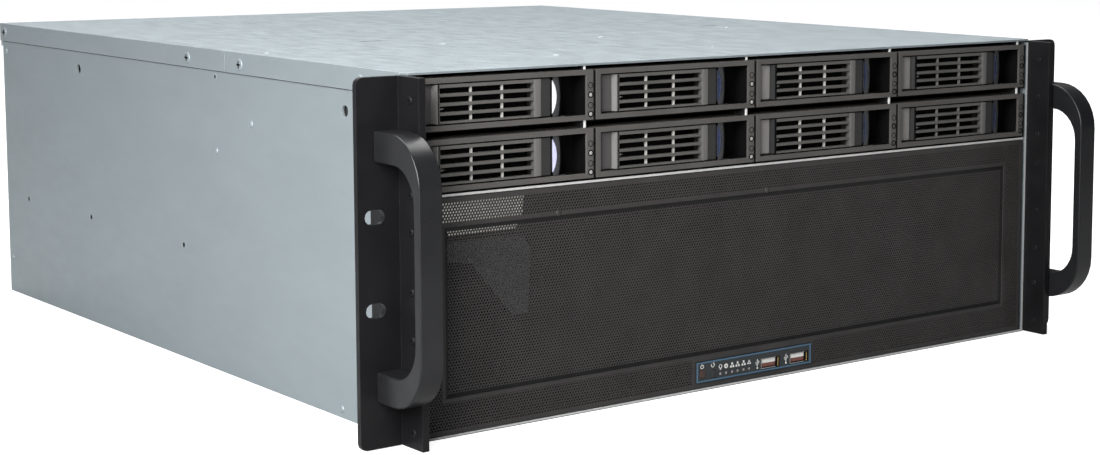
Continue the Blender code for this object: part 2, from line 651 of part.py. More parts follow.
def mainboard():
    """Server board: circuit board, port block, cooler, memory and expansion sockets."""
    x0, x1, y0, y1 = BOARD
    top = BOARD_Z + 1.6
    foot = top - 0.5
    holes = [circle(x, y, 1.8, 8) for x in STUD_X for y in STUD_Y]
    board = prism([rect(x0, x1, y0, y1)] + holes, "z", BOARD_Z, top)
    ports = [box(88, 104, 484, 506.4, foot, 28), box(60, 84, 484, 506.4, foot, 40),
             box(20, 56, 484, 506.4, foot, 40), box(-12, 16, 484, 506.4, foot, 24),
             box(-46, -20, 484, 506.4, foot, 44)]
    cooler = [box(-10, 60, 392, 462, top + 3, 62), box(5, 45, 407, 447, foot, top + 4)]
    memory = [box(70 + 8 * i, 76 + 8 * i, 350, 482, foot, 41) for i in range(4)]
    sockets = [box(x - 3.6, x + 3.6, 396, 480, foot, top + 11) for x in slot_x()]
    chipset = [box(-120, -84, 330, 366, foot, top + 10)]
    return node("mainboard", join(board, *ports, *cooler, *memory, *sockets, *chipset), "board")


def io_shield():
    """Port shield with an opening for each group of connectors."""
    outer = rect(IO_LEFT + 0.5, IO_RIGHT - 0.5, IO_LOW + 0.4, IO_HIGH - 0.4)
    ports = [rect(89, 103, 13, 27), rect(61, 83, 13, 39), rect(21.5, 37, 13, 39), rect(39.5, 55, 13, 39),
             rect(-11, 15, 13, 23)]
    jacks = [circle(x, z, 3.4, 12) for x in (-38.5, -27.5) for z in (17, 27.5, 38)]
    shield = prism([outer] + ports + jacks, "y", REAR_INNER + 0.1, BODY_REAR - 0.2)
    return node("io_shield", shield, "bare_steel")


def build():
    """Make every node of the enclosure."""
    for old in list(bpy.data.objects):
        bpy.data.objects.remove(old)
    base_tray()
    front_cover()
    rear_lid()
    thumbscrews()
    rear_panel()
    slot_covers()
    for side, label in ((-1, "left"), (1, "right")):
        ear(side, "ear_" + label)
        handle(side, "handle_" + label)
    drive_cage()
    backplane()
    drive_bays()
    front_grille()
    control_panel()
    push_button("power_button", *POWER_BUTTON)
    push_button("reset_button", *RESET_BUTTON)
    for label, x in zip(("left", "right"), USB_CENTRES):
        usb_socket("usb_socket_" + label, x)
    fan_wall()
    fans()
    psu_case()
    psu_inlet()
    psu_rocker()
    fan_rotor("psu_rotor", *PSU_FAN, 72.0, 482.0, 18.4)
    mainboard()
    io_shield()


build()
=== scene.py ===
"""Looks of the four-unit rack storage enclosure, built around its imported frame.

Lengths in this script are in millimetres. X runs to the right of someone facing the front and
Z is up. Y runs to the back and is counted from the front plane of the rack ears, which at()
turns into the frame's metres.
"""

import json
import math

import bmesh
import bpy
from mathutils import Matrix, Vector
from mathutils.geometry import delaunay_2d_cdt


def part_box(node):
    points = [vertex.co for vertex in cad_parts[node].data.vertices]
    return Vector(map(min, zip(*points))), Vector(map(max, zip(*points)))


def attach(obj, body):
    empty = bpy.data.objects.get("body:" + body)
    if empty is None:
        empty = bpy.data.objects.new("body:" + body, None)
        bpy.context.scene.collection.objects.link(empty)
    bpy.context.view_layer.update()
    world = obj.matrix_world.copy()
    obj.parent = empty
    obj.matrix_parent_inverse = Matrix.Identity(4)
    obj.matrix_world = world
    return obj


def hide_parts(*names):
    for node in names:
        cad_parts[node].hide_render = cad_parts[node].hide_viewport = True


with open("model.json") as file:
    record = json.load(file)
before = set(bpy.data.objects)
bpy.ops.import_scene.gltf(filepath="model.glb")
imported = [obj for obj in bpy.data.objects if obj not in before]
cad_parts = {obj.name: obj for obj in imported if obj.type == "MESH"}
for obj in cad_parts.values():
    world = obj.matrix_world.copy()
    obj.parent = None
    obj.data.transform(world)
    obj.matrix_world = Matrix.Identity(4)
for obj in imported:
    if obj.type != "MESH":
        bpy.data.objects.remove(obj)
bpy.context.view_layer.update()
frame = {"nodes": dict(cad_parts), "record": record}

MM = 0.001
INSIDE_WITH_HOLES = 2

# The base tray starts 2 mm in front of the ears' plates
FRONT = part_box("base_tray")[0].y + 2 * MM


def at(x, y, z):
    """A point given in millimetres from the ears' front plane, in the frame's metres."""
    return Vector((x * MM, FRONT + y * MM, z * MM))


def span(node):
    """Lowest and highest corners of a CAD node, in this script's millimetres."""
    low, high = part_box(node)
    shift = Vector((0, FRONT, 0))
    return (low - shift) / MM, (high - shift) / MM


# -------- materials

def blank(name):
    """A new material with its tree, its shader and object coordinates."""
    made = bpy.data.materials.new(name)
    made.use_nodes = True
    tree = made.node_tree
    shader = tree.nodes["Principled BSDF"]
    coordinates = tree.nodes.new("ShaderNodeTexCoord").outputs["Object"]
    return made, tree, shader, coordinates


def connect(tree, node, inputs):
    """Link a node's inputs to sockets, or give them values."""
    for name, value in inputs.items():
        if isinstance(value, bpy.types.NodeSocket):
            tree.links.new(value, node.inputs[name])
        else:
            node.inputs[name].default_value = value


def added(tree, kind, inputs):
    """A new shader node with some inputs linked or given a value."""
    made = tree.nodes.new("ShaderNode" + kind)
    connect(tree, made, inputs)
    return made


def noise(tree, vector, scale, detail, stretch=None):
    """A noise value, optionally stretched along the axes."""
    if stretch:
        vector = added(tree, "Mapping", {"Scale": stretch, "Vector": vector}).outputs["Vector"]
    return added(tree, "TexNoise", {"Scale": scale, "Detail": detail, "Vector": vector}).outputs["Fac"]


def spread(tree, value, low, high, start=0.3, end=0.7):
    """Map a value onto a range."""
    return added(tree, "MapRange", {"Value": value, "From Min": start, "From Max": end,
                                    "To Min": low, "To Max": high}).outputs["Result"]


def blended(tree, amount, first, second):
    """Mix two colours, each a colour or a socket, by a value."""
    mix = tree.nodes.new("ShaderNodeMix")
    mix.data_type = "RGBA"
    one, other = (place for place, socket in enumerate(mix.inputs) if socket.type == "RGBA")
    connect(tree, mix, {"Factor": amount, one: first, other: second})
    return [socket for socket in mix.outputs if socket.type == "RGBA"][0]


def edge_mask(tree, radius, vector):
    """From 0 on flat faces to 1 on rubbed edges, broken up by noise."""
    rounded = added(tree, "Bevel", {"Radius": radius * MM})
    rounded.samples = 4
    geometry = added(tree, "NewGeometry", {})
    turned = added(tree, "VectorMath", {0: rounded.outputs["Normal"], 1: geometry.outputs["Normal"]})
    turned.operation = "DOT_PRODUCT"
    rubbed = spread(tree, turned.outputs["Value"], 1.0, 0.0, 0.80, 0.98)
    patches = spread(tree, noise(tree, vector, 90, 4), 0.25, 1.0, 0.35, 0.65)
    product = added(tree, "Math", {0: rubbed, 1: patches})
    product.operation = "MULTIPLY"
    return product.outputs["Value"]


def surface(name, colour, roughness, mottle=(0.10, 25), grain=None, worn=None, metallic=0.0,
            uneven=0.06, specular=0.5, stretch=None):
    """A procedural finish: colour variation, uneven gloss, fine grain and rubbed edges.

    mottle and grain are (amount, size), and worn is (colour, radius in millimetres).
    """
    made, tree, shader, vector = blank(name)
    change, size = mottle
    dark, light = ((*(min(1.0, c * k) for c in colour), 1.0) for k in (1 - change, 1 + change))
    tint = blended(tree, spread(tree, noise(tree, vector, size, 5, stretch), 0, 1), dark, light)
    if worn:
        tint = blended(tree, edge_mask(tree, worn[1], vector), tint, (*worn[0], 1.0))
    gloss = spread(tree, noise(tree, vector, size * 3.1, 4, stretch), roughness - uneven, roughness + uneven)
    connect(tree, shader, {"Base Color": tint, "Roughness": gloss, "Metallic": metallic,
                           "Specular IOR Level": specular})
    if grain:
        height = noise(tree, vector, grain[1], 2, stretch)
        bump = added(tree, "Bump", {"Strength": grain[0], "Distance": 0.1 * MM, "Height": height})
        connect(tree, shader, {"Normal": bump.outputs["Normal"]})
    return made


def glowing(made, strength, colour):
    """Give a material's shader some light of its own."""
    connect(made.node_tree, made.node_tree.nodes["Principled BSDF"],
            {"Emission Strength": strength, "Emission Color": (*colour, 1.0)})
    return made


# Sheet metal, stretched along the direction it was rolled in
ROLLED = (1.0, 0.35, 1.0)
zinc = surface("zinc_sheet", (0.277, 0.319, 0.337), 0.44, (0.03, 45), (0.07, 1400),
               ((0.66, 0.70, 0.72), 0.35), metallic=0.45, stretch=ROLLED)
bare = surface("bare_sheet", (0.52, 0.54, 0.55), 0.33, (0.10, 80), (0.08, 1100),
               ((0.80, 0.81, 0.82), 0.3), metallic=0.9, stretch=ROLLED)
cut_edge = surface("cut_steel_edge", (0.56, 0.56, 0.55), 0.35, (0.08, 250), (0.10, 900), metallic=0.2)
# Painted light: a pale plate with a glow of its own, for the light that falls on it through the grille
plate_painted_glow = surface("plate_painted_glow", (0.92, 0.90, 0.84), 0.40, (0.06, 60), (0.08, 1100), metallic=0.1)
glowing(plate_painted_glow, 0.22, (0.95, 0.93, 0.88))
# Painted shade: the drive cage and dark strips where shade falls
painted_shade = surface("painted_shade_sheet", (0.020, 0.020, 0.021), 0.50, (0.15, 60), (0.08, 1100), specular=0.2)
chrome = surface("bright_plate", (0.72, 0.71, 0.69), 0.20, (0.06, 200), (0.05, 900), metallic=1.0,
                 uneven=0.05)
gold = surface("contact_gold", (0.80, 0.56, 0.22), 0.25, (0.08, 300), metallic=1.0)

# Coats of the ears, the handles and the grille
coat = surface("black_powder_coat", (0.0070, 0.0070, 0.0078), 0.42, (0.18, 40), (0.16, 1700),
               ((0.040, 0.042, 0.046), 0.4), specular=0.22)
satin = surface("black_handle_coat", (0.0110, 0.0112, 0.0122), 0.33, (0.15, 35), (0.10, 1500),
                ((0.075, 0.077, 0.082), 0.5), specular=0.35)
mesh_coat = surface("mesh_coat", (0.038, 0.0355, 0.0345), 0.45, (0.12, 50), (0.08, 1500), specular=0.3)
# Painted shade: the grille's slopes into its sunken field and some lever slopes
painted_shade_coat = surface("painted_shade_coat", (0.010, 0.010, 0.0105), 0.45, (0.12, 50), (0.08, 1500),
                      specular=0.2)
# Black as painted shade in recesses, holes, slots and linings, and on the dust filter and port bores
black_and_painted_shade = surface("recess_black_and_painted_shade", (0.0035, 0.0034, 0.0036), 0.55, (0.15, 70), specular=0.08)

# Plastics of the trays, their levers and their catches
tray_skin = surface("tray_moulding", (0.080, 0.0755, 0.071), 0.42, (0.10, 45), (0.14, 2200),
                    ((0.16, 0.152, 0.142), 0.3), specular=0.35)
lever_skin = surface("lever_moulding", (0.088, 0.085, 0.080), 0.40, (0.08, 60), (0.12, 2200),
                     ((0.16, 0.155, 0.146), 0.3), specular=0.35)
# Painted shade: hinge face of the left half's levers
lever_flat_painted_shade = surface("lever_hinge_painted_shade", (0.068, 0.063, 0.063), 0.38, (0.08, 60), (0.12, 2200),
                     ((0.20, 0.195, 0.19), 0.35))
lever_end = surface("lever_end", (0.027, 0.0265, 0.026), 0.40, (0.08, 60), (0.12, 2200),
                    specular=0.35)
# Painted reflection: glare on the hinge face of the right half's levers
lever_painted_glare = surface("lever_hinge_painted_glare", (0.21, 0.20, 0.19), 0.38, (0.08, 60), (0.12, 2200),
                     ((0.26, 0.25, 0.24), 0.35))
# Painted highlight: lit facets, slopes and some posts of the levers
lever_painted_highlight = surface("lever_painted_highlight_face", (0.135, 0.131, 0.127), 0.38, (0.08, 60), (0.12, 2200),
                      ((0.17, 0.165, 0.155), 0.3))
# Painted highlight: the louvre's posts
louvre_post_painted_highlight = surface("louvre_post_painted_highlight", (0.42, 0.41, 0.39), 0.42, (0.10, 150), (0.10, 2200))
recess_wall = surface("recess_wall", (0.050, 0.051, 0.055), 0.30, (0.03, 60))
catch_blue = surface("catch_blue", (0.020, 0.031, 0.085), 0.26, (0.08, 150))
# Painted shade: the right half's catches
catch_painted_shade = surface("catch_blue_painted_shade", (0.010, 0.014, 0.040), 0.30, (0.08, 150))
# Painted highlight: the outer part of the blue catches
catch_painted_highlight = surface("catch_blue_painted_highlight", (0.046, 0.057, 0.098), 0.28, (0.06, 150))
# Painted highlight: the first column's catches, pale violet and white
catch_painted_highlight_pale = surface("catch_painted_highlight_pale", (0.62, 0.62, 0.86), 0.28, (0.05, 150))
catch_painted_highlight_white = surface("catch_painted_highlight_white", (0.88, 0.88, 0.88), 0.28, (0.04, 150))
lamp_off = surface("lamp_off", (0.055, 0.054, 0.052), 0.30, (0.06, 500))
lamp_clear = surface("lamp_clear", (0.36, 0.36, 0.34), 0.20, (0.06, 500))

# Control panel, fans, boards and ports
panel_skin = surface("panel_moulding", (0.031, 0.035, 0.037), 0.36, (0.08, 80), (0.08, 2500),
                     ((0.09, 0.095, 0.10), 0.25), specular=0.35)
panel_blue = surface("panel_blue_line", (0.060, 0.125, 0.195), 0.35, (0.10, 120), (0.05, 900))
ink_white = surface("symbol_white", (0.66, 0.66, 0.64), 0.55, (0.12, 700))
lamp_dim = surface("lamp_lens", (0.22, 0.20, 0.205), 0.22, (0.12, 500))
button_red = surface("power_button_tint", (0.052, 0.029, 0.025), 0.35, (0.10, 300))
tongue_brown = surface("socket_tongue", (0.16, 0.060, 0.045), 0.40, (0.10, 300))
fan_skin = surface("fan_moulding", (0.014, 0.014, 0.015), 0.44, (0.12, 60), (0.10, 1800),
                   ((0.05, 0.05, 0.052), 0.3), specular=0.35)
solder_mask = surface("solder_mask", (0.010, 0.050, 0.024), 0.35, (0.25, 220), (0.10, 900))
port_blue = surface("port_blue", (0.03, 0.10, 0.45), 0.4, (0.08, 200))
port_green = surface("port_green", (0.10, 0.42, 0.14), 0.4, (0.08, 200))
port_pink = surface("port_pink", (0.62, 0.22, 0.30), 0.4, (0.08, 200))

NODE_SLOTS = {part["node"]: part["material_slot"] for part in frame["record"]["subparts"]}
NODE_BODIES = {node: body for body, nodes in frame["record"]["behaviour"]["bodies"].items()
               for node in nodes}


# -------- shapes

def rect(u0, u1, v0, v1):
    """A rectangle's corners."""
    return [(u0, v0), (u1, v0), (u1, v1), (u0, v1)]


def arc(cu, cv, radius, start, end, steps):
    """Points along an arc, in degrees."""
    angles = [math.radians(start + (end - start) * i / steps) for i in range(steps + 1)]
    return [(cu + radius * math.cos(a), cv + radius * math.sin(a)) for a in angles]


def circle(cu, cv, radius, sides):
    """A regular polygon close to a circle."""
    return arc(cu, cv, radius, 0, 360, sides)[:-1]


class Shape:
    """A mesh put together from closed solids, each in one of its piece's materials."""

    def __init__(self):
        self.points, self.faces, self.inks = [], [], []

    def add(self, points, faces, ink=0):
        """Take in a closed solid given in millimetres."""
        first = len(self.points)
        self.points += [Vector(point) for point in points]
        self.faces += [tuple(first + i for i in face) for face in faces]
        self.inks += [ink] * len(faces)
        return self

    def box(self, x0, x1, y0, y1, z0, z1, ink=0):
        """A block between two corners."""
        corners = [(x, y, z) for x in (x0, x1) for y in (y0, y1) for z in (z0, z1)]
        faces = [(0, 1, 3, 2), (4, 6, 7, 5), (0, 4, 5, 1), (2, 3, 7, 6), (0, 2, 6, 4), (1, 5, 7, 3)]
        return self.add(corners, faces, ink)

    def prism(self, loops, axis, low, high, ink=0):
        """An outline and its holes, extruded along an axis."""
        points, rings = [], []
        for loop in loops:
            rings.append(list(range(len(points), len(points) + len(loop))))
            points += [Vector(point) for point in loop]
        flat, _, triangles, *_ = delaunay_2d_cdt(points, [], rings, INSIDE_WITH_HOLES, 1e-7)
        lift = {"x": lambda u, v, w: (w, u, v), "y": lambda u, v, w: (u, w, v),
                "z": lambda u, v, w: (u, v, w)}[axis]
        count = len(flat)
        verts = [lift(p.x, p.y, w) for w in (low, high) for p in flat]
        faces = [tuple(t) for t in triangles]
        faces += [tuple(count + i for i in reversed(t)) for t in triangles]
        sides = [(t[i], t[(i + 1) % 3]) for t in triangles for i in range(3)]
        known = set(sides)
        faces += [(b, a, a + count, b + count) for a, b in sides if (b, a) not in known]
        return self.add(verts, faces, ink)

    def turned(self, profile, centre, facing, steps, ink=0):
        """A closed profile of (radius, height) turned about a line that leaves centre."""
        basis = Vector(facing).to_track_quat("Z", "Y").to_matrix()
        points, faces, ring_starts = [], [], []
        for radius, height in profile:
            ring_starts.append(len(points))
            sides = 1 if radius == 0 else steps
            for i in range(sides):
                angle = 2 * math.pi * i / steps
                local = Vector((radius * math.cos(angle), radius * math.sin(angle), height))
                points.append(Vector(centre) + basis @ local)
        for ring, following in zip(range(len(profile)), range(1, len(profile))):
            a, b = ring_starts[ring], ring_starts[following]
            for i in range(steps):
                j = (i + 1) % steps
                if profile[ring][0] == 0:
                    faces.append((a, b + i, b + j))
                elif profile[following][0] == 0:
                    faces.append((a + i, b, a + j))
                else:
                    faces.append((a + i, a + j, b + j, b + i))
        return self.add(points, faces, ink)

    def ring(self, centre, facing, radius, wire, steps, sides):
        """A round wire bent into a ring."""
        basis = Vector(facing).to_track_quat("Z", "Y").to_matrix()
        points, faces = [], []
        for i in range(steps):
            around = 2 * math.pi * i / steps
            for j in range(sides):
                across = 2 * math.pi * j / sides
                reach = radius + wire * math.cos(across)
                local = Vector((reach * math.cos(around), reach * math.sin(around),
                                wire * math.sin(across)))
                points.append(Vector(centre) + basis @ local)
        for i in range(steps):
            for j in range(sides):
                a, b = i * sides, (i + 1) % steps * sides
                k = (j + 1) % sides
                faces.append((a + j, a + k, b + k, b + j))
        return self.add(points, faces)

    def loft(self, sections, inks):
        """Rings of points joined into a solid, with an ink for each side of a ring."""
        first, count = len(self.points), len(inks)
        self.points += [Vector(point) for section in sections for point in section]
        starts = [first + count * k for k in range(len(sections))]
        for a, b in zip(starts, starts[1:]):
            for i in range(count):
                j = (i + 1) % count
                self.faces.append((a + i, a + j, b + j, b + i))
                self.inks.append(inks[i])
        for start in (starts[0], starts[-1]):
            self.faces.append(tuple(range(start, start + count)))
            self.inks.append(inks[-1])
        return self

    def copies(self, source, moves):
        """Copies of another shape, each moved by a matrix."""
        for move in moves:
            first = len(self.points)
            self.points += [move @ point for point in source.points]
            self.faces += [tuple(first + i for i in face) for face in source.faces]
            self.inks += source.inks
        return self


def to_mesh(shape, name, tidy=True):
    """Turn a shape into a mesh in the frame's metres, with its faces turned outwards."""
    mesh = bpy.data.meshes.new(name)
    mesh.from_pydata([at(*point) for point in shape.points], [], shape.faces)
    mesh.polygons.foreach_set("material_index", shape.inks)
    if tidy:
        work = bmesh.new()
        work.from_mesh(mesh)
        bmesh.ops.recalc_face_normals(work, faces=work.faces)
        bmesh.ops.dissolve_limit(work, angle_limit=math.radians(0.5), verts=work.verts,
                                 edges=work.edges, delimit={"MATERIAL"})
        work.to_mesh(mesh)
        work.free()
    return mesh


def shade(made, bevel, angle):
    """Smooth shading with crisp edges, and a small bevel where faces meet."""
    made.data.shade_smooth()
    made.data.set_sharp_from_angle(angle=math.radians(angle))
    if bevel:
        edge = made.modifiers.new("edge", "BEVEL")
        edge.width = bevel * MM
        edge.segments = 2
        edge.limit_method = "ANGLE"
        edge.angle_limit = math.radians(angle)
        edge.harden_normals = True


def piece(name, mesh, body, slot, inks, bevel=0.0, replaces=(), angle=35):
    """Show a mesh as a piece that rides on a body."""
    for ink in inks:
        mesh.materials.append(ink)
    made = bpy.data.objects.new(name, mesh)
    bpy.context.collection.objects.link(made)
    shade(made, bevel, angle)
    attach(made, body)
    if replaces:
        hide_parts(*replaces)
    return made


def show(name, shape, body, slot, inks, bevel=0.0, replaces=(), angle=35):
    """Show a shape as a piece that rides on a body."""
    return piece(name, to_mesh(shape, name), body, slot, inks, bevel, replaces, angle)


def dress(node, inks, bevel, rule=None, angle=35):
    """A bevelled copy of a CAD node in the node's place. A rule gives a face its material."""
    mesh = frame["nodes"][node].data.copy()
    mesh.materials.clear()
    work = bmesh.new()
    work.from_mesh(mesh)
    bmesh.ops.remove_doubles(work, verts=work.verts, dist=0.002 * MM)
    bmesh.ops.recalc_face_normals(work, faces=work.faces)
    for face in work.faces:
        face.material_index = rule(face) if rule else 0
    bmesh.ops.dissolve_limit(work, angle_limit=math.radians(0.5), verts=work.verts,
                             edges=work.edges, delimit={"MATERIAL"})
    work.to_mesh(mesh)
    work.free()
    return piece(node + "_body", mesh, NODE_BODIES[node], NODE_SLOTS[node], inks, bevel, (node,), angle)


def front_edge(face):
    """Front cut edges of the sheets are bare; the rest keeps its coat, on the drive cage painted shade."""
    middle = (face.calc_center_median().y - FRONT) / MM
    return 1 if face.normal.y < -0.9 and middle < 0 else 0


# -------- fasteners

def screw_head(radius, rise):
    """Pan head with a cross recess, standing on z = 0."""
    shape = Shape()
    dome = arc(0, 0, 1, 0, 90, 5)
    outer = [(radius * u, rise * (0.25 + 0.75 * v)) for u, v in dome[:-1]]
    arm, width = radius * 0.55, radius * 0.16
    shape.turned([(0, 0), (radius, 0)] + outer + [(0, rise)], (0, 0, 0), (0, 0, 1), 20)
    cross = [(width, -arm), (width, -width), (arm, -width), (arm, width), (width, width),
             (width, arm), (-width, arm), (-width, width), (-arm, width), (-arm, -width),
             (-width, -width), (-width, -arm)]
    shape.prism([cross], "z", rise * 0.9, rise + 0.03, 1)
    return shape


def rivet_head(radius, rise):
    """Low dome standing on z = 0."""
    shape = Shape()
    dome = [(radius * u, rise * v) for u, v in arc(0, 0, 1, 0, 90, 5)[:-1]]
    return shape.turned([(0, -0.1), (radius, -0.1)] + dome + [(0, rise)], (0, 0, 0), (0, 0, 1), 16)


def dimple(radius):
    """Pressed ring around a small blind hole, standing on z = 0."""
    shape = Shape()
    profile = [(radius * 0.5, -0.1), (radius, -0.1), (radius, 0.10), (radius * 0.8, 0.28),
               (radius * 0.62, 0.22), (radius * 0.5, 0.05), (radius * 0.5, -0.1)]
    shape.turned(profile, (0, 0, 0), (0, 0, 1), 20)
    return shape.turned([(0, -0.1), (radius * 0.52, -0.1), (radius * 0.52, 0.04), (0, 0.04)],
                        (0, 0, 0), (0, 0, 1), 20, 1)


def facing(point, direction):
    """A move that stands a shape on a point, with its z along a direction."""
    turn = Vector(direction).to_track_quat("Z", "Y").to_matrix().to_4x4()
    return Matrix.Translation(Vector(point)) @ turn


def fasteners(name, body, slot, ink, groups):
    """One piece of many small fasteners. A group is (shape, direction, points)."""
    shape = Shape()
    for source, direction, points in groups:
        shape.copies(source, [facing(point, direction) for point in points])
    # Cross recesses and small holes in painted shade
    return show(name, shape, body, slot, [ink, black_and_painted_shade], angle=50)


# -------- chassis

BAYS = tuple(range(1, 9))


def chassis():
    """Bent sheets of the chassis, with bare cut edges at the front."""
    dress("base_tray", [zinc, cut_edge], 0.25, front_edge)
    for node, bevel in (("front_cover", 0.3), ("rear_lid", 0.3), ("rear_panel", 0.15)):
        dress(node, [zinc], bevel)
    dress("slot_covers", [bare], 0.15)
    # The drive cage in painted shade, with bare cut edges at the front
    dress("drive_cage", [painted_shade, cut_edge], 0.0, front_edge)
    cage_parts()
    dress("fan_wall", [bare], 0.2)
    dress("backplane", [solder_mask], 0.2)
    dress("mainboard", [solder_mask, fan_skin, bare], 0.25, board_parts)
    dress("io_shield", [bare], 0.1)


def cage_parts():
    """Tabs between the trays, bent plates behind the grille, one lit by a painted glow, a dark filter."""
    tabs = Shape()
    cover_top = span("front_cover")[1].z
    for number in BAYS[:4]:
        low, high = span(f"bay_{number}_tray")
        lower_top = span(f"bay_{number + 4}_tray")[1].z
        x = high.x - 5.4
        for bottom, top in ((lower_top + 0.1, low.z + 0.6), (high.z + 0.1, cover_top - 1.3)):
            # A tab's pale front, and painted shade on the rest of it
            tabs.box(x - 0.5, x + 0.5, -1.4, -0.6, bottom, top)
            tabs.box(x - 0.5, x + 0.5, -0.6, 12, bottom, top, 1)
    # Painted shade: a dark strip under the floor's cut edge, where its lower corner is in shadow
    tabs.box(-214.8, 214.8, -2.03, -1.9, 0.0, 0.3, 1)
    show("cage_tabs", tabs, "chassis", "bare_steel", [ink_white, painted_shade])
    # Painted light: the first plate is pale and glows, for light falling on it through the grille
    leg = Shape()
    leg.prism([[(-210, 117), (-210, 97.2), (-151.5, 97.2), (-146.5, 104), (-145.5, 117)]], "y", 4, 5)
    slanted = [(-210, 93), (-210, 87), (-173.5, 82), (-149, 53), (-140.5, 53), (-138, 83), (-142, 93)]
    leg.prism([slanted], "y", 9, 10, 1)
    show("cage_leg", leg, "chassis", "bare_steel", [plate_painted_glow, zinc], 0.2)
    filter_sheet = Shape().box(-209, 209, 10.4, 10.9, 4, 116.4)
    show("dust_filter", filter_sheet, "chassis", "fan_plastic", [black_and_painted_shade])


def board_parts(face):
    """The board is green, tall port blocks are steel and the other blocks are black."""
    middle = face.calc_center_median()
    height, depth = middle.z / MM, (middle.y - FRONT) / MM
    if height < 9.7:
        return 0
    return 2 if depth > 483 or height > 60 else 1


def wall_marks():
    """Screws, rivets, dimples and painted shadow in narrow gaps of the side walls, alike on both sides."""
    wall = span("base_tray")[1].x
    rim_low, rim_high = (corner.z for corner in span("front_cover"))
    rim, seam = span("rear_lid")[1].x, span("rear_lid")[0].y
    rivets = [(157.3, 140.6), (198.9, 122.4), (504, 160.1), (504, 22.8), (64.8, 4.5)]
    studs = [(472.6, 65.3), (372.1, 65.3), (242.6, 64.9)]
    rims = [(502.5, 172.3), (229.8, 171.7), (166.9, 171.5), (40.0, 171.5)]
    for side, label in ((-1, "left"), (1, "right")):
        out = (side, 0, 0)
        fasteners(f"wall_marks_{label}", "chassis", "zinc_steel", zinc, [
            (rivet_head(2.0, 0.8), out, [(side * wall, y, z) for y, z in rivets]),
            (dimple(2.8), out, [(side * wall, y, z) for y, z in studs]),
            (dimple(2.0), out, [(side * wall, 198.7, 163.0)]),
            (screw_head(3.3, 0.8), out, [(side * rim, y, z) for y, z in rims if y < seam]),
        ])
        fasteners(f"lid_marks_{label}", "lid", "zinc_steel", zinc, [
            (screw_head(3.3, 0.8), out, [(side * rim, y, z) for y, z in rims if y > seam]),
        ])
        # Painted shadow: dark strips in the narrow gaps under the rim and between the two top sheets
        for name, body, front, back in (("cover_gap_painted_shadow", "chassis", 1.0, seam - 0.4),
                                        ("lid_gap_painted_shadow", "lid", seam, 507)):
            gap = Shape()
            x = sorted((side * (wall - 0.05), side * (wall + 0.12)))
            gap.box(*x, front, back, rim_low - 0.45, rim_low)
            if body == "chassis":
                x = sorted((side * (rim - 0.9), side * (rim - 0.1)))
                gap.box(*x, seam - 0.45, seam - 0.05, rim_low + 0.2, rim_high - 0.4)
            show(f"{name}_{label}", gap, body, "zinc_steel", [painted_shade])


def top_marks():
    """Dimples and rivets of the top sheets."""
    top = span("front_cover")[1].z
    up = (0, 0, 1)
    fasteners("top_marks", "chassis", "zinc_steel", zinc, [
        (dimple(2.2), up, [(x, y, top) for x, y in ((-91.9, 163.9), (17.8, 162.2), (-91.4, 53.1))]),
        (rivet_head(1.5, 0.35), up, [(x, y, top) for x, y in ((-206.2, 155.5), (14.6, 52.6))]),
    ])
    slots = Shape()
    # Slots in painted shade
    for x, y in ((-113.4, 208), (146, 217)):
        slots.prism([rect(x - 7, x + 7, y - 0.9, y + 0.9)], "z", top - 0.2, top + 0.03, 1)
    slots.copies(dimple(1.7), [facing((141.4, 192.4, top), up)])
    show("lid_top_marks", slots, "lid", "zinc_steel", [zinc, black_and_painted_shade])


# -------- ears and handles

FIN_HOLES = (166.0, 144.0, 121.5, 104.0, 75.5, 52.5, 31.0, 8.0)


def ears():
    """Ears and handles with their screws."""
    for side, label in ((-1, "left"), (1, "right")):
        dress("ear_" + label, [coat], 0.35)
        dress("handle_" + label, [satin], 0.9)
        low, high = span("handle_" + label)
        handle_x = (low.x + high.x) / 2
        inner, outer, flange = side * 215.3, side * 218.9, side * 218.3
        handle_screws = [(handle_x, 3.0, z) for z in (low.z + 7.4, high.z - 7.4)]
        flange_screws = [(flange, 16, z) for z in (20, 60, 112, 152)]
        fasteners("ear_screws_" + label, "chassis", "black_paint", coat, [
            (screw_head(1.9, 0.7), (side, 0, 0), [(outer, -10.5, z) for z in FIN_HOLES]),
            (dimple(1.3), (-side, 0, 0), [(inner, -10.5, z) for z in FIN_HOLES]),
            (screw_head(4.2, 2.2), (0, 1, 0), handle_screws),
            (screw_head(3.0, 1.2), (side, 0, 0), flange_screws),
        ])


# -------- drive bays

CURVE_START, CURVE_REACH, CURVE_DEPTH = 80.2, 8.5, 5.2
# Height of a catch's middle over its tray's base, and the sides of the finger recess
CATCH_MIDDLE, RECESS_START, RECESS_END = 12.7, 88.6, 100.0


def curve_depth(u):
    """Depth of the rounded surface that leads from a catch into the finger recess."""
    return -0.6 + CURVE_DEPTH * (1 - math.sqrt(1 - ((u - CURVE_START) / CURVE_REACH) ** 2))


def curved_section(left, start, end, back, z, steps):
    """Ring of points at one height: the rounded surface between two places, and a flat back."""
    places = [start + (end - start) * i / steps for i in range(steps + 1)]
    return ([(left + u, curve_depth(u), z) for u in places] +
            [(left + end, back, z), (left + start, back, z)])


def catch_edge(v):
    """Right edge of a catch at a height above or below its middle."""
    return 83.3 - 2.9 * (v / 8.4) ** 2


def catch_shape(left, low):
    """Sprung catch: a crescent of the rounded surface on a tongue."""
    shape = Shape()
    middle = low + CATCH_MIDDLE
    inner, outer, back = range(3)
    sections = [curved_section(left, CURVE_START, catch_edge(v) - 0.12, 7.4, middle + v, 9)
                for v in (8.2 * k / 8 for k in range(-8, 9))]
    # The outer part of the crescent carries a painted highlight
    shape.loft(sections, [inner] * 5 + [outer] * 4 + [back] * 3)
    return shape.box(left + 77.4, left + 80.6, 3.4, 5.6, middle - 4.6, middle + 4.6, back)


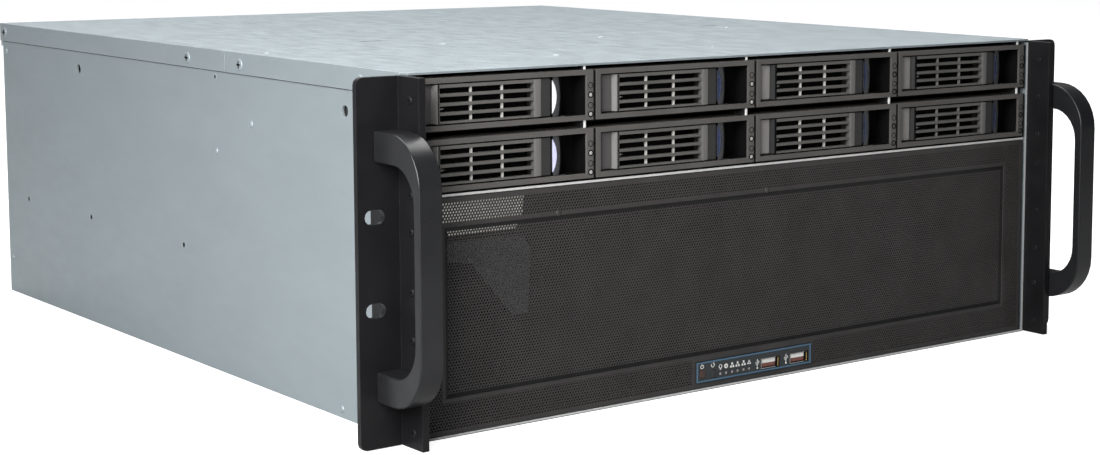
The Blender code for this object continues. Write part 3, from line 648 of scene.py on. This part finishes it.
def tray_detail(left, right, low, high):
    """What a tray's face has on its frame: lamps, the recess's rounded wall, painted shade in black linings.
    """
    shape = Shape()
    cap, ring, lens, black, wall = range(5)
    spots = [(left + 102.6, -2.2, low + v) for v in (17.4, 12.7, 7.4, 3.0)]
    for first, ink, inner, outer in ((0, cap, 1.2, 1.6), (1, lens, 1.0, 1.7)):
        lamp = Shape()
        lamp.turned([(inner, -0.2), (outer, -0.2), (outer, 0.05), (inner, 0.05), (inner, -0.2)],
                    (0, 0, 0), (0, 0, 1), 18, ring)
        lamp.turned([(0, -0.2), (inner, -0.2), (inner, 0.03), (inner * 0.6, 0.16), (0, 0.2)],
                    (0, 0, 0), (0, 0, 1), 14, ink)
        shape.copies(lamp, [facing(spot, (0, -1, 0)) for spot in spots[first::2]])
    # Rounded wall that runs from the catch into the finger recess, its deeper part in painted shade
    edges = [(v, catch_edge(v) + 0.15) for v in (8.4 * k / 8 for k in range(-8, 9))]
    edges = [(-10.0, 80.55)] + edges + [(10.0, 80.55)]
    sections = [curved_section(left, edge, RECESS_START, 9.4, low + CATCH_MIDDLE + v, 12)
                for v, edge in edges]
    shape.loft(sections, [wall] * 6 + [black] * 9)
    # Painted shade: black lining of the recess
    start, end = left + RECESS_START, left + RECESS_END
    shape.prism([rect(start, end, low + 2.7, low + 22.7)], "y", 9.4, 9.8, black)
    for z in (low + 2.62, low + 22.66):
        shape.prism([rect(start, end, -1.0, 9.4)], "z", z, z + 0.12, black)
    shape.prism([rect(-1.0, 9.4, low + 2.7, low + 22.7)], "x", end - 0.02, end + 0.08, black)
    # Shadow line beside the next tray
    shape.box(right - 0.75, right + 0.02, -2.24, 0.0, low - 0.6, high, black)
    # Painted shade: black lining behind the louvre
    shape.prism([rect(left + 12.5, left + 71, low + 2.8, low + 22.6)], "y", 8.2, 8.5, black)
    return shape


LOUVRE_POSTS = (32.8, 50.75)
LOUVRE_ROWS = (5.75, 10.2, 14.65, 19.1)


def lever_shape(left, low):
    """Ventilated lever: hub, flat, louvre with slats over recessed posts, facet and latch end."""
    shape = Shape()
    facet, recessed, end, flat, slope = range(1, 6)
    z0, z1 = low + 3.35, low + 22.05

    def upright(outline, bottom, top, ink=0):
        """A solid between two heights, with its outline counted from the tray's left side."""
        shape.prism([[(left + u, y) for u, y in outline]], "z", bottom, top, ink)

    hub = [(4.2, 0.6), (10.4, 0.6), (10.4, 2.0), (9.4, 5.0)]
    upright(hub + arc(6.4, 3.2, 2.6, 45, 180, 8), z0, z1)
    # Flat by the hinge, then the slope up to the louvre; by column, painted highlight, glare or shade
    upright([(4.6, 0.62), (5.0, 0.3), (11.0, 0.3), (11.4, 0.62), (11.4, 0.8), (4.6, 0.8)],
            z0 + 0.25, z1 - 0.25, flat)
    upright([(10.4, 0.6), (11.4, 0.6), (12.8, -1.9), (14.4, -1.9), (14.4, 1.0), (10.4, 2.0)],
            z0, z1, slope)
    # Louvre: rim, slats and the posts behind them
    opening = rect(left + 14.2, left + 68.3, low + 4.4, low + 20.45)
    shape.prism([rect(left + 13.4, left + 69.2, z0, z1), opening], "y", -1.9, 1.0)
    for lower, upper in zip(LOUVRE_ROWS, LOUVRE_ROWS[1:]):
        z = low + (lower + upper) / 2
        slat = [(-1.9, z - 0.6), (-1.6, z - 0.8), (0.8, z - 0.8), (0.8, z + 0.8), (-1.6, z + 0.8),
                (-1.9, z + 0.6)]
        shape.prism([slat], "x", left + 14.0, left + 68.5)
    # Posts in a painted highlight
    for u in LOUVRE_POSTS:
        post = rect(left + u - 0.36, left + u + 0.36, low + 4.2, low + 20.6)
        shape.prism([post], "y", -0.9, 0.7, recessed)
    # Facet in a painted highlight, then the end that holds the catch
    upright([(68.6, -1.95), (69.2, -2.05), (73.2, -1.1), (73.4, -0.8), (73.4, 1.0), (68.6, 1.0)],
            z0, z1, facet)
    brow = [(73.2, -0.9), (78.8, -0.9), (79.0, -0.7)]
    catch_bottom, catch_top = low + 7.7, low + 17.7
    for bottom, top in ((z0, catch_bottom), (catch_top, z1)):
        upright(brow + [(79.0, 6.6), (75, 6.6), (73.2, 1.0)], bottom, top, end)
    upright(brow + [(79.0, 3.0), (74.2, 3.0), (73.2, 1.0)], catch_bottom, catch_top, end)
    # Small arrow that shows which end opens
    u, z = left + 14.8, low + 10.4
    return shape.prism([[(u, z), (u + 1.2, z - 0.65), (u + 1.0, z - 0.15), (u + 2.8, z + 0.1),
                         (u + 1.0, z + 0.3), (u + 1.2, z + 0.65)]], "y", -1.3, -1.0, facet)


def lever_inks(number):
    """Painted light: highlit facets and posts; right half: glare on the flat, shade on the slope."""
    column = (number - 1) % 4
    ends = [lever_painted_glare, painted_shade_coat] if column > 1 else [lever_flat_painted_shade, lever_painted_highlight]
    return [lever_skin, lever_painted_highlight, lever_painted_highlight if column == 3 else louvre_post_painted_highlight, lever_end] + ends


def catch_inks(number):
    """Painted light: first column pale, others blue with a highlight rim; right half in painted shade."""
    pale = {1: catch_painted_highlight_white, 5: catch_painted_highlight_pale}.get(number)
    shade = catch_painted_shade if (number - 1) % 4 > 1 else catch_blue
    return [pale, pale, recess_wall] if pale else [shade, catch_painted_highlight, recess_wall]


def bays():
    """Trays, levers and catches of the eight bays."""
    for number in BAYS:
        name = f"bay_{number}"
        low, high = span(name + "_tray")
        left, bottom = low.x, low.z + 0.7
        lamp = lamp_clear if number % 4 in (1, 2) else lamp_off
        dress(name + "_tray", [tray_skin], 0.3)
        show(name + "_tray_face", tray_detail(left, high.x, bottom, high.z), name + "_tray",
             "tray_plastic", [tray_skin, black_and_painted_shade, lamp, black_and_painted_shade, recess_wall], angle=40)
        show(name + "_lever_louvre", lever_shape(left, bottom), name + "_lever", "tray_plastic",
             lever_inks(number), 0.12, (name + "_lever",))
        show(name + "_latch_piece", catch_shape(left, bottom), name + "_latch", "latch_plastic",
             catch_inks(number), replaces=(name + "_latch",))


# -------- front grille

PITCH, HOLE, MESH_THICK = 1.645, 0.60, 0.5
CORNERS = ((1, 1), (0, 2), (-1, 1), (-1, -1), (0, -2), (1, -1))


def perforated(cells, corner, y):
    """A sheet of six-sided cells with a hole in each, in front of y + MESH_THICK.

    A cell is given by whole numbers (column, row) of its middle, and its corners lie one or two
    of them away, so neighbours share corners exactly. corner() turns them into millimetres.
    """
    index, plan, loops = {}, [], []
    for column, row in cells:
        outer = []
        for du, dv in CORNERS:
            key = (column + du, row + dv)
            if key not in index:
                index[key] = len(plan)
                plan.append(corner(*key))
            outer.append(index[key])
        u, v = corner(column, row)
        hole = range(len(plan), len(plan) + 6)
        plan += [(u + HOLE * math.cos(a), v + HOLE * math.sin(a))
                 for a in (math.radians(30 + 60 * i) for i in range(6))]
        loops.append((outer, hole))
    count = len(plan)
    sides = {(outer[i], outer[i - 5]) for outer, _ in loops for i in range(6)}
    faces = []
    for outer, hole in loops:
        for i in range(6):
            a, b, c, d = outer[i], outer[i - 5], hole[i - 5], hole[i]
            faces += [(a, b, c, d), (d + count, c + count, b + count, a + count),
                      (d, c, c + count, d + count)]
    faces += [(b, a, a + count, b + count) for a, b in sides if (b, a) not in sides]
    return Shape().add([(u, w, v) for w in (y, y + MESH_THICK) for u, v in plan], faces)


def mesh_sheets(name, box, keep, y, count):
    """Perforated pieces side by side in a box, of the cells whose middle is kept."""
    left, right, bottom, top = box
    across, up = PITCH / 2, PITCH * math.sqrt(3) / 6
    columns, rows = int((right - left) / across), int((top - bottom) / up)

    def corner(column, row):
        """Place of a whole-number pair."""
        return left + column * across, bottom + row * up

    groups = [[] for _ in range(count)]
    for line, row in enumerate(range(0, rows + 1, 3)):
        for column in range(line % 2, columns + 1, 2):
            if keep(*corner(column, row)):
                groups[min(count - 1, column * count // columns)].append((column, row))
    for number, cells in enumerate(groups, 1):
        mesh = to_mesh(perforated(cells, corner, y), f"{name}_{number}", tidy=False)
        piece(f"{name}_{number}", mesh, "chassis", "black_paint", [mesh_coat], angle=25)


def grown(box, spare):
    """A box (left, right, bottom, top) made larger by spare."""
    return box[0] - spare, box[1] + spare, box[2] - spare, box[3] + spare


def inside(u, v, box, spare):
    """Does a point lie in a box made larger by spare?"""
    left, right, bottom, top = grown(box, spare)
    return left < u < right and bottom < v < top


def strip(shape, box, width, y):
    """A flat frame around a box, outside it."""
    shape.prism([rect(*grown(box, width)), rect(*box)], "y", y, y + MESH_THICK)


def grille():
    """Perforated front sheet: a sunken field in a perforated border with a folded hem."""
    low, high = span("front_grille")
    face = low.y
    # How deep the field lies, and the widths of its slope, of the plain strips and of their edge
    sunk, slope, lip, crest = 0.8, 2.1, 2.1, 0.45
    sheet = (low.x, high.x, low.z, high.z)
    field = (-195.5, 195.5, 19.3, 102.8)
    panel_low, panel_high = span("control_panel")
    panel = grown((panel_low.x, panel_high.x, panel_low.z, panel_high.z), 0.3)

    mesh_sheets("grille_field", field, lambda u, v: inside(u, v, field, -slope / 2), face + sunk, 4)
    mesh_sheets("grille_border", sheet,
                lambda u, v: inside(u, v, sheet, -lip / 2) and not inside(u, v, field, lip / 2)
                and not inside(u, v, panel, lip / 2), face, 3)

    rim = Shape()
    rim.prism([rect(*sheet), rect(*grown(sheet, -lip))], "y", face - 0.02, face + MESH_THICK)
    strip(rim, panel, lip, face - 0.05)
    strip(rim, field, crest, face - 0.12)
    strip(rim, grown(field, crest), lip - crest, face - 0.02)
    rim.prism([rect(*sheet), rect(*grown(sheet, -0.8))], "y", face + 0.4, high.y)
    # Slopes into the sunken field, in painted shade
    for side, edge in enumerate(field):
        foot = edge - slope if side % 2 else edge + slope
        ramp = [(face + 0.3, edge), (face + sunk - 0.02, foot), (face + sunk + MESH_THICK, foot),
                (face + MESH_THICK, edge)]
        if side < 2:
            rim.prism([[(u, y) for y, u in ramp]], "z", field[2], field[3], 1)
        else:
            rim.prism([ramp], "x", field[0] + 0.8, field[1] - 0.8, 1)
    show("grille_rim", rim, "chassis", "black_paint", [mesh_coat, painted_shade_coat], 0.08,
         ("front_grille",))
    fasteners("grille_marks", "chassis", "black_paint", mesh_coat, [
        (rivet_head(1.6, 0.6), (0, -1, 0), [(-129, face, 104.0), (8.5, face, 104.0)])])


# -------- control panel

# Places of the colours in the list of the panel's marks
LINE, WHITE, LENS, RING = range(4)


def sign(shape, outlines, face):
    """Print outlines, each a loop and its holes, on the panel's face in white."""
    for loops in outlines:
        shape.prism(loops, "y", face - 0.06, face + 0.02, WHITE)


def open_ring(x, z, size, inner, start, end):
    """Outline of a ring with a gap."""
    return arc(x, z, size, start, end, 20) + arc(x, z, size * inner, end, start, 20)


def power_symbol(x, z, size):
    """Open ring with a bar in its gap."""
    bar = rect(x - size * 0.14, x + size * 0.14, z + size * 0.2, z + size * 1.15)
    return [[open_ring(x, z, size, 0.72, 125, 415)], [bar]]


def reset_symbol(x, z, size):
    """Open ring with an arrow head."""
    u, v = x + size * 0.45, z + size * 0.75
    arrow = [(u - 0.45, v - 0.25), (u + 0.45, v - 0.1), (u + 0.05, v + 0.6)]
    return [[open_ring(x, z, size, 0.7, 140, 420)], [arrow]]


def usb_symbol(x, z):
    """Fork of three prongs with a ball, a square and an arrow."""
    prongs = []
    for side, low, high in ((-1, -1.1, 0.6), (1, -0.5, 1.1)):
        prongs.append([[(x, z + low), (x + side * 1.1, z + low + 1.0), (x + side * 1.1, z + high),
                        (x + side * 0.8, z + high), (x + side * 0.8, z + low + 1.1),
                        (x, z + low + 0.4)]])
    return [[rect(x - 0.16, x + 0.16, z - 2.0, z + 2.0)], [circle(x, z - 2.2, 0.55, 14)],
            [[(x - 0.5, z + 1.8), (x + 0.5, z + 1.8), (x, z + 2.8)]], *prongs,
            [rect(x + 0.6, x + 1.3, z + 0.9, z + 1.6)], [circle(x - 0.95, z + 0.8, 0.4, 12)]]


def lamp_symbol(kind, x, z):
    """Small generic signs over the lamps: bulb, disk, network ports and a warning."""
    if kind == "bulb":
        return [[circle(x, z + 0.3, 1.15, 16), circle(x, z + 0.3, 0.8, 16)],
                [rect(x - 0.4, x + 0.4, z - 1.5, z - 0.75)]]
    if kind == "disk":
        return [[circle(x, z, 1.3, 16), circle(x, z, 0.55, 12)]]
    if kind == "ports":
        nodes = [[rect(x + u - 0.55, x + u + 0.55, z + v - 0.5, z + v + 0.5)]
                 for u, v in ((0, 0.85), (-0.85, -0.85), (0.85, -0.85))]
        return nodes + [[rect(x - 0.95, x + 0.95, z - 0.1, z + 0.12)],
                        [rect(x - 0.12, x + 0.12, z - 0.1, z + 0.5)]]
    return [[[(x - 1.35, z - 1.1), (x + 1.35, z - 1.1), (x, z + 1.3)],
             [(x - 0.7, z - 0.75), (x + 0.7, z - 0.75), (x, z + 0.5)]]]


LAMPS = (("bulb", -24.3), ("disk", -20.4), ("ports", -16.2), ("ports", -12.3), ("ports", -8.1),
         ("warning", -4.2))


def control_panel():
    """Panel face with its blue line, signs, lamps, buttons and sockets."""
    low, high = span("control_panel")
    face = low.y
    dress("control_panel", [panel_skin], 0.2)
    details = Shape()
    edge = (low.x, high.x, low.z, high.z)
    details.prism([rect(*edge), rect(*grown(edge, -0.8))], "y", face - 0.25, face + 0.05, LINE)
    sign(details, power_symbol(-37.0, 13.1, 1.2) + reset_symbol(-29.6, 13.0, 1.2), face)
    for kind, x in LAMPS:
        sign(details, lamp_symbol(kind, x, 11.3), face)
        details.turned([(0, -0.1), (0.85, -0.1), (0.85, 0.1), (0.6, 0.3), (0, 0.38)],
                       (x, face, 7.6), (0, -1, 0), 14, LENS)
        details.turned([(0.86, -0.1), (1.15, -0.1), (1.15, 0.12), (0.9, 0.16), (0.86, -0.1)],
                       (x, face, 7.6), (0, -1, 0), 14, RING)
    for x in (1.7, 22.4):
        sign(details, usb_symbol(x, 9.3), face)
    show("control_panel_marks", details, "chassis", "panel_plastic",
         [panel_blue, ink_white, lamp_dim, fan_skin], angle=40)
    dress("power_button", [button_red], 0.3)
    dress("reset_button", [panel_skin], 0.3)
    for label in ("left", "right"):
        usb_socket("usb_socket_" + label)


def usb_socket(name):
    """Shell and contacts, a painted reflection and a brown band in the mouth, painted shade at the side."""
    low, high = span(name)
    dress(name, [chrome, tongue_brown], 0.12, tongue_face)
    middle, centre = (low.x + high.x) / 2, (low.z + high.z) / 2
    contacts = Shape()
    metal, pale, brown, black = range(4)
    for i in range(4):
        x = middle + (i - 1.5) * 2.5
        contacts.box(x - 0.55, x + 0.55, low.y + 1.3, low.y + 8, 8.95, 9.12, metal)
    start, end, back = low.x + 0.7, high.x - 2.5, low.y + 1.1
    # Painted reflection: a pale band in the mouth
    contacts.box(start, end, low.y + 0.5, back, centre + 0.1, high.z - 0.6, pale)
    contacts.box(start, end, low.y + 0.7, back, low.z + 0.9, centre + 0.1, brown)
    # Painted shade on the socket's dark side
    contacts.box(end, high.x + 0.9, low.y - 0.15, back, low.z, high.z, black)
    contacts.box(high.x - 1.4, high.x - 0.8, low.y - 0.3, low.y, low.z + 0.4, high.z - 0.4, metal)
    show(name + "_contacts", contacts, "chassis", "bright_metal",
         [gold, ink_white, tongue_brown, black_and_painted_shade], 0.05)


def tongue_face(face):
    """The plastic tongue inside a socket's shell."""
    middle = face.calc_center_median()
    depth = (middle.y - FRONT) / MM
    within = any(abs(middle.x / MM - x) < 5.6 for x in (11.05, 32.0))
    return 1 if within and 9.0 < middle.z / MM < 11.0 and -1.5 < depth < 12 else 0


# -------- cooling

# Outer face of the rear panel
REAR = 509.2


def fans():
    """Fan frames, rotors and their screws."""
    for label in ("left", "centre", "right"):
        dress("mid_fan_" + label, [fan_skin], 0.3)
        dress("mid_rotor_" + label, [fan_skin], 0.3, angle=40)
    rear_screws = []
    for label in ("left", "right"):
        name = "rear_fan_" + label
        dress(name, [fan_skin], 0.3)
        dress("rear_rotor_" + label, [fan_skin], 0.3, angle=40)
        low, high = span(name)
        rear_screws += [(x, REAR, z) for x in (low.x + 4.3, high.x - 4.3)
                        for z in (low.z + 4.3, high.z - 4.3)]
    fasteners("rear_fan_screws", "chassis", "bright_metal", chrome,
              [(screw_head(3.6, 1.6), (0, 1, 0), rear_screws)])


# -------- rear

def supply():
    """Power supply with its wire guard, screws, inlet and switch."""
    dress("psu_case", [zinc], 0.2)
    dress("psu_inlet", [panel_skin, gold], 0.25, inlet_pins)
    dress("psu_rocker", [fan_skin], 0.4)
    dress("psu_rotor", [fan_skin], 0.3, angle=40)
    low, high = span("psu_rotor")
    x, z = (low.x + high.x) / 2, (low.z + high.z) / 2
    case_low, case_high = span("psu_case")
    back = case_high.y
    guard = Shape()
    for radius in (9, 17, 25, 33, 39):
        guard.ring((x, back + 0.9, z), (0, 1, 0), radius, 0.8, 40, 6)
    for turn in (45, 135, 225, 315):
        u, v = math.cos(math.radians(turn)), math.sin(math.radians(turn))
        spoke = [(x + u * r - v * w, z + v * r + u * w) for r, w in
                 ((8.5, -0.8), (46, -0.8), (46, 0.8), (8.5, 0.8))]
        guard.prism([spoke], "y", back + 0.15, back + 1.1)
    show("psu_guard", guard, "chassis", "bright_metal", [chrome], angle=40)
    corners = [(x + u * 31, back, z + v * 31) for u in (-1, 1) for v in (-1, 1)]
    plate = [(x, REAR, case_high.z + 3.5) for x in (case_low.x + 8, case_high.x - 8)]
    fasteners("psu_screws", "chassis", "bright_metal", chrome,
              [(screw_head(3.4, 1.5), (0, 1, 0), corners + plate)])


def inlet_pins(face):
    """The three pins inside the mains inlet."""
    low, high = span("psu_inlet")
    middle = face.calc_center_median()
    x, z = middle.x / MM - (low.x + high.x) / 2, middle.z / MM - (low.z + high.z) / 2
    pins = ((-7, -2), (0, 2), (7, -2))
    near = any(abs(x - u) < 1.3 and abs(z - v) < 2.3 for u, v in pins)
    depth = (middle.y - FRONT) / MM
    return 1 if near and 490.2 < depth < 505 else 0


def rear_details():
    """Slot cover ribs and screws, port inserts, and rivets of the rear panel."""
    high = span("slot_covers")[1]
    ribs = Shape()
    screws = []
    for i in range(7):
        x = -68.0 - 20.32 * i
        ribs.prism([rect(x - 1.6, x + 1.6, 20, 108)], "y", high.y - 0.2, high.y + 0.5)
        screws.append((x + 3, 501, high.z))
    show("slot_cover_ribs", ribs, "chassis", "bare_steel", [bare], 0.4)
    fasteners("slot_cover_screws", "chassis", "bright_metal", chrome,
              [(screw_head(3.0, 1.6), (0, 0, 1), screws)])

    ports = Shape()
    metal, black, blue, pins, green, pink = range(6)
    for mouth, ink in (((90, 102, 14, 26), metal), ((62, 82, 14, 38), metal),
                       ((22.5, 36, 14, 38), metal), ((40.5, 54, 14, 38), metal),
                       ((-10, 14, 14, 22), blue)):
        bore = rect(*grown(mouth, -0.8))
        ports.prism([rect(*mouth), bore], "y", 506.5, 510.2, ink)
        ports.prism([bore], "y", 506.5, 507.2, black)
    for x in (64.5, 74.5):
        for z in (17, 29):
            ports.box(x, x + 5, 507, 509.6, z, z + 1.6, pins)
    for x in (24.5, 42.5):
        for z in (17, 25, 33):
            ports.box(x, x + 9.5, 507, 509.8, z, z + 2.0, blue)
    for x, ink in ((-38.5, green), (-27.5, pink)):
        for z in (17, 27.5, 38):
            ports.turned([(1.8, -2), (3.1, -2), (3.1, 0.6), (2.6, 0.9), (1.9, 0.7), (1.8, -2)],
                         (x, 508.9, z), (0, 1, 0), 20, ink)
    show("port_inserts", ports, "chassis", "bright_metal",
         [chrome, black_and_painted_shade, port_blue, gold, port_green, port_pink], 0.15)

    corners = [(x, REAR, z) for x in (-207.5, 207.5) for z in (8, 60, 112, 158)]
    fasteners("rear_panel_rivets", "chassis", "zinc_steel", zinc,
              [(rivet_head(2.2, 0.9), (0, 1, 0), corners)])


TEETH = 36


def thumbscrews():
    """Knurled knobs with a driver slot."""
    for label in ("left", "right"):
        name = "thumbscrew_" + label
        low, high = span(name)
        x, z = (low.x + high.x) / 2, (low.z + high.z) / 2
        radius = (high.x - low.x) / 2
        knob = Shape()
        crests, valleys = circle(x, z, radius, 2 * TEETH), circle(x, z, radius - 0.35, 2 * TEETH)
        knob.prism([[(crests, valleys)[i % 2][i] for i in range(2 * TEETH)]], "y", 511.3, 516.6)
        knob.turned([(0, 505), (1.8, 505), (1.8, 511.2), (radius - 0.8, 511.2), (radius - 0.8, 511.5),
                     (0, 511.5)], (x, 0, z), (0, 1, 0), 24)
        knob.turned([(0, 516.4), (radius - 0.4, 516.4), (radius - 0.9, 517.6), (radius - 1.8, 518.2),
                     (0, 518.4)], (x, 0, z), (0, 1, 0), 32)
        # Driver slot in painted shade
        knob.prism([rect(x - radius + 1.6, x + radius - 1.6, z - 0.5, z + 0.5)], "y", 518.0, 518.55, 1)
        show(name + "_knob", knob, name, "bright_metal", [chrome, black_and_painted_shade], 0.12, (name,), angle=30)


# -------- surroundings

def floor():
    """Plain pale floor, a little brighter to the camera than the light on it makes it."""
    bpy.ops.mesh.primitive_plane_add(size=30, location=(0, 0, -0.0002))
    plane = bpy.context.object
    plane.name = "floor"
    pale = glowing(surface("floor", (0.36, 0.36, 0.36), 0.9, (0.01, 0.5)), 0.0, (1.0, 1.0, 1.0))
    tree = pale.node_tree
    seen = added(tree, "LightPath", {}).outputs["Is Camera Ray"]
    connect(tree, tree.nodes["Principled BSDF"],
            {"Emission Strength": spread(tree, seen, 0.0, 0.88, 0.0, 1.0)})
    plane.data.materials.append(pale)


def area_light(name, place, target, size, power):
    """Soft box that points at a target, in metres."""
    data = bpy.data.lights.new(name, "AREA")
    data.shape = "RECTANGLE"
    data.size, data.size_y = size
    data.energy = power
    light = bpy.data.objects.new(name, data)
    bpy.context.collection.objects.link(light)
    light.location = place
    light.rotation_euler = (Vector(target) - Vector(place)).to_track_quat("-Z", "Y").to_euler()


def lights():
    """Surroundings that are paler on the left and white to the camera, and two soft boxes."""
    world = bpy.data.worlds.new("studio")
    world.use_nodes = True
    tree = world.node_tree
    place = added(tree, "SeparateXYZ", {"Vector": added(tree, "TexCoord", {}).outputs["Generated"]})
    lighting = tree.nodes["Background"]
    connect(tree, lighting, {"Color": (0.93, 0.96, 1.0, 1.0),
                             "Strength": spread(tree, place.outputs["X"], 0.38, 0.04, 0.0, 0.50)})
    backdrop = added(tree, "Background", {"Color": (1.0, 1.0, 1.0, 1.0), "Strength": 1.0})
    seen = added(tree, "LightPath", {}).outputs["Is Camera Ray"]
    choice = added(tree, "MixShader", {"Fac": seen, 1: lighting.outputs["Background"],
                                       2: backdrop.outputs["Background"]})
    connect(tree, tree.nodes["World Output"], {"Surface": choice.outputs["Shader"]})
    bpy.context.scene.world = world
    area_light("key", (0.40, 0.75, 1.95), (0.05, 0.20, 0.1), (2.2, 2.0), 78)
    area_light("fill", (-0.78, -0.62, 0.48), (-0.20, 0.00, 0.08), (0.5, 0.5), 16)
    bpy.context.scene.view_settings.view_transform = "Standard"


def camera():
    """Camera at the left front, a little above the enclosure's top."""
    data = bpy.data.cameras.new("camera")
    data.lens = 67.4
    data.sensor_width = 36
    data.shift_x, data.shift_y = -0.15, -0.08
    data.clip_start = 0.01
    view = bpy.data.objects.new("camera", data)
    bpy.context.collection.objects.link(view)
    view.location = at(-714.8, -834.9, 255.6)
    yaw, pitch, roll = math.radians(39.5), math.radians(6.43), math.radians(0.25)
    turn = Matrix.Rotation(-yaw, 3, "Z") @ Matrix.Rotation(math.pi / 2 - pitch, 3, "X")
    view.rotation_euler = (turn @ Matrix.Rotation(roll, 3, "Z")).to_euler()
    bpy.context.scene.camera = view


for part in (chassis, wall_marks, top_marks, ears, bays, grille, control_panel, fans, supply,
             rear_details, thumbscrews, floor, lights, camera):
    part()
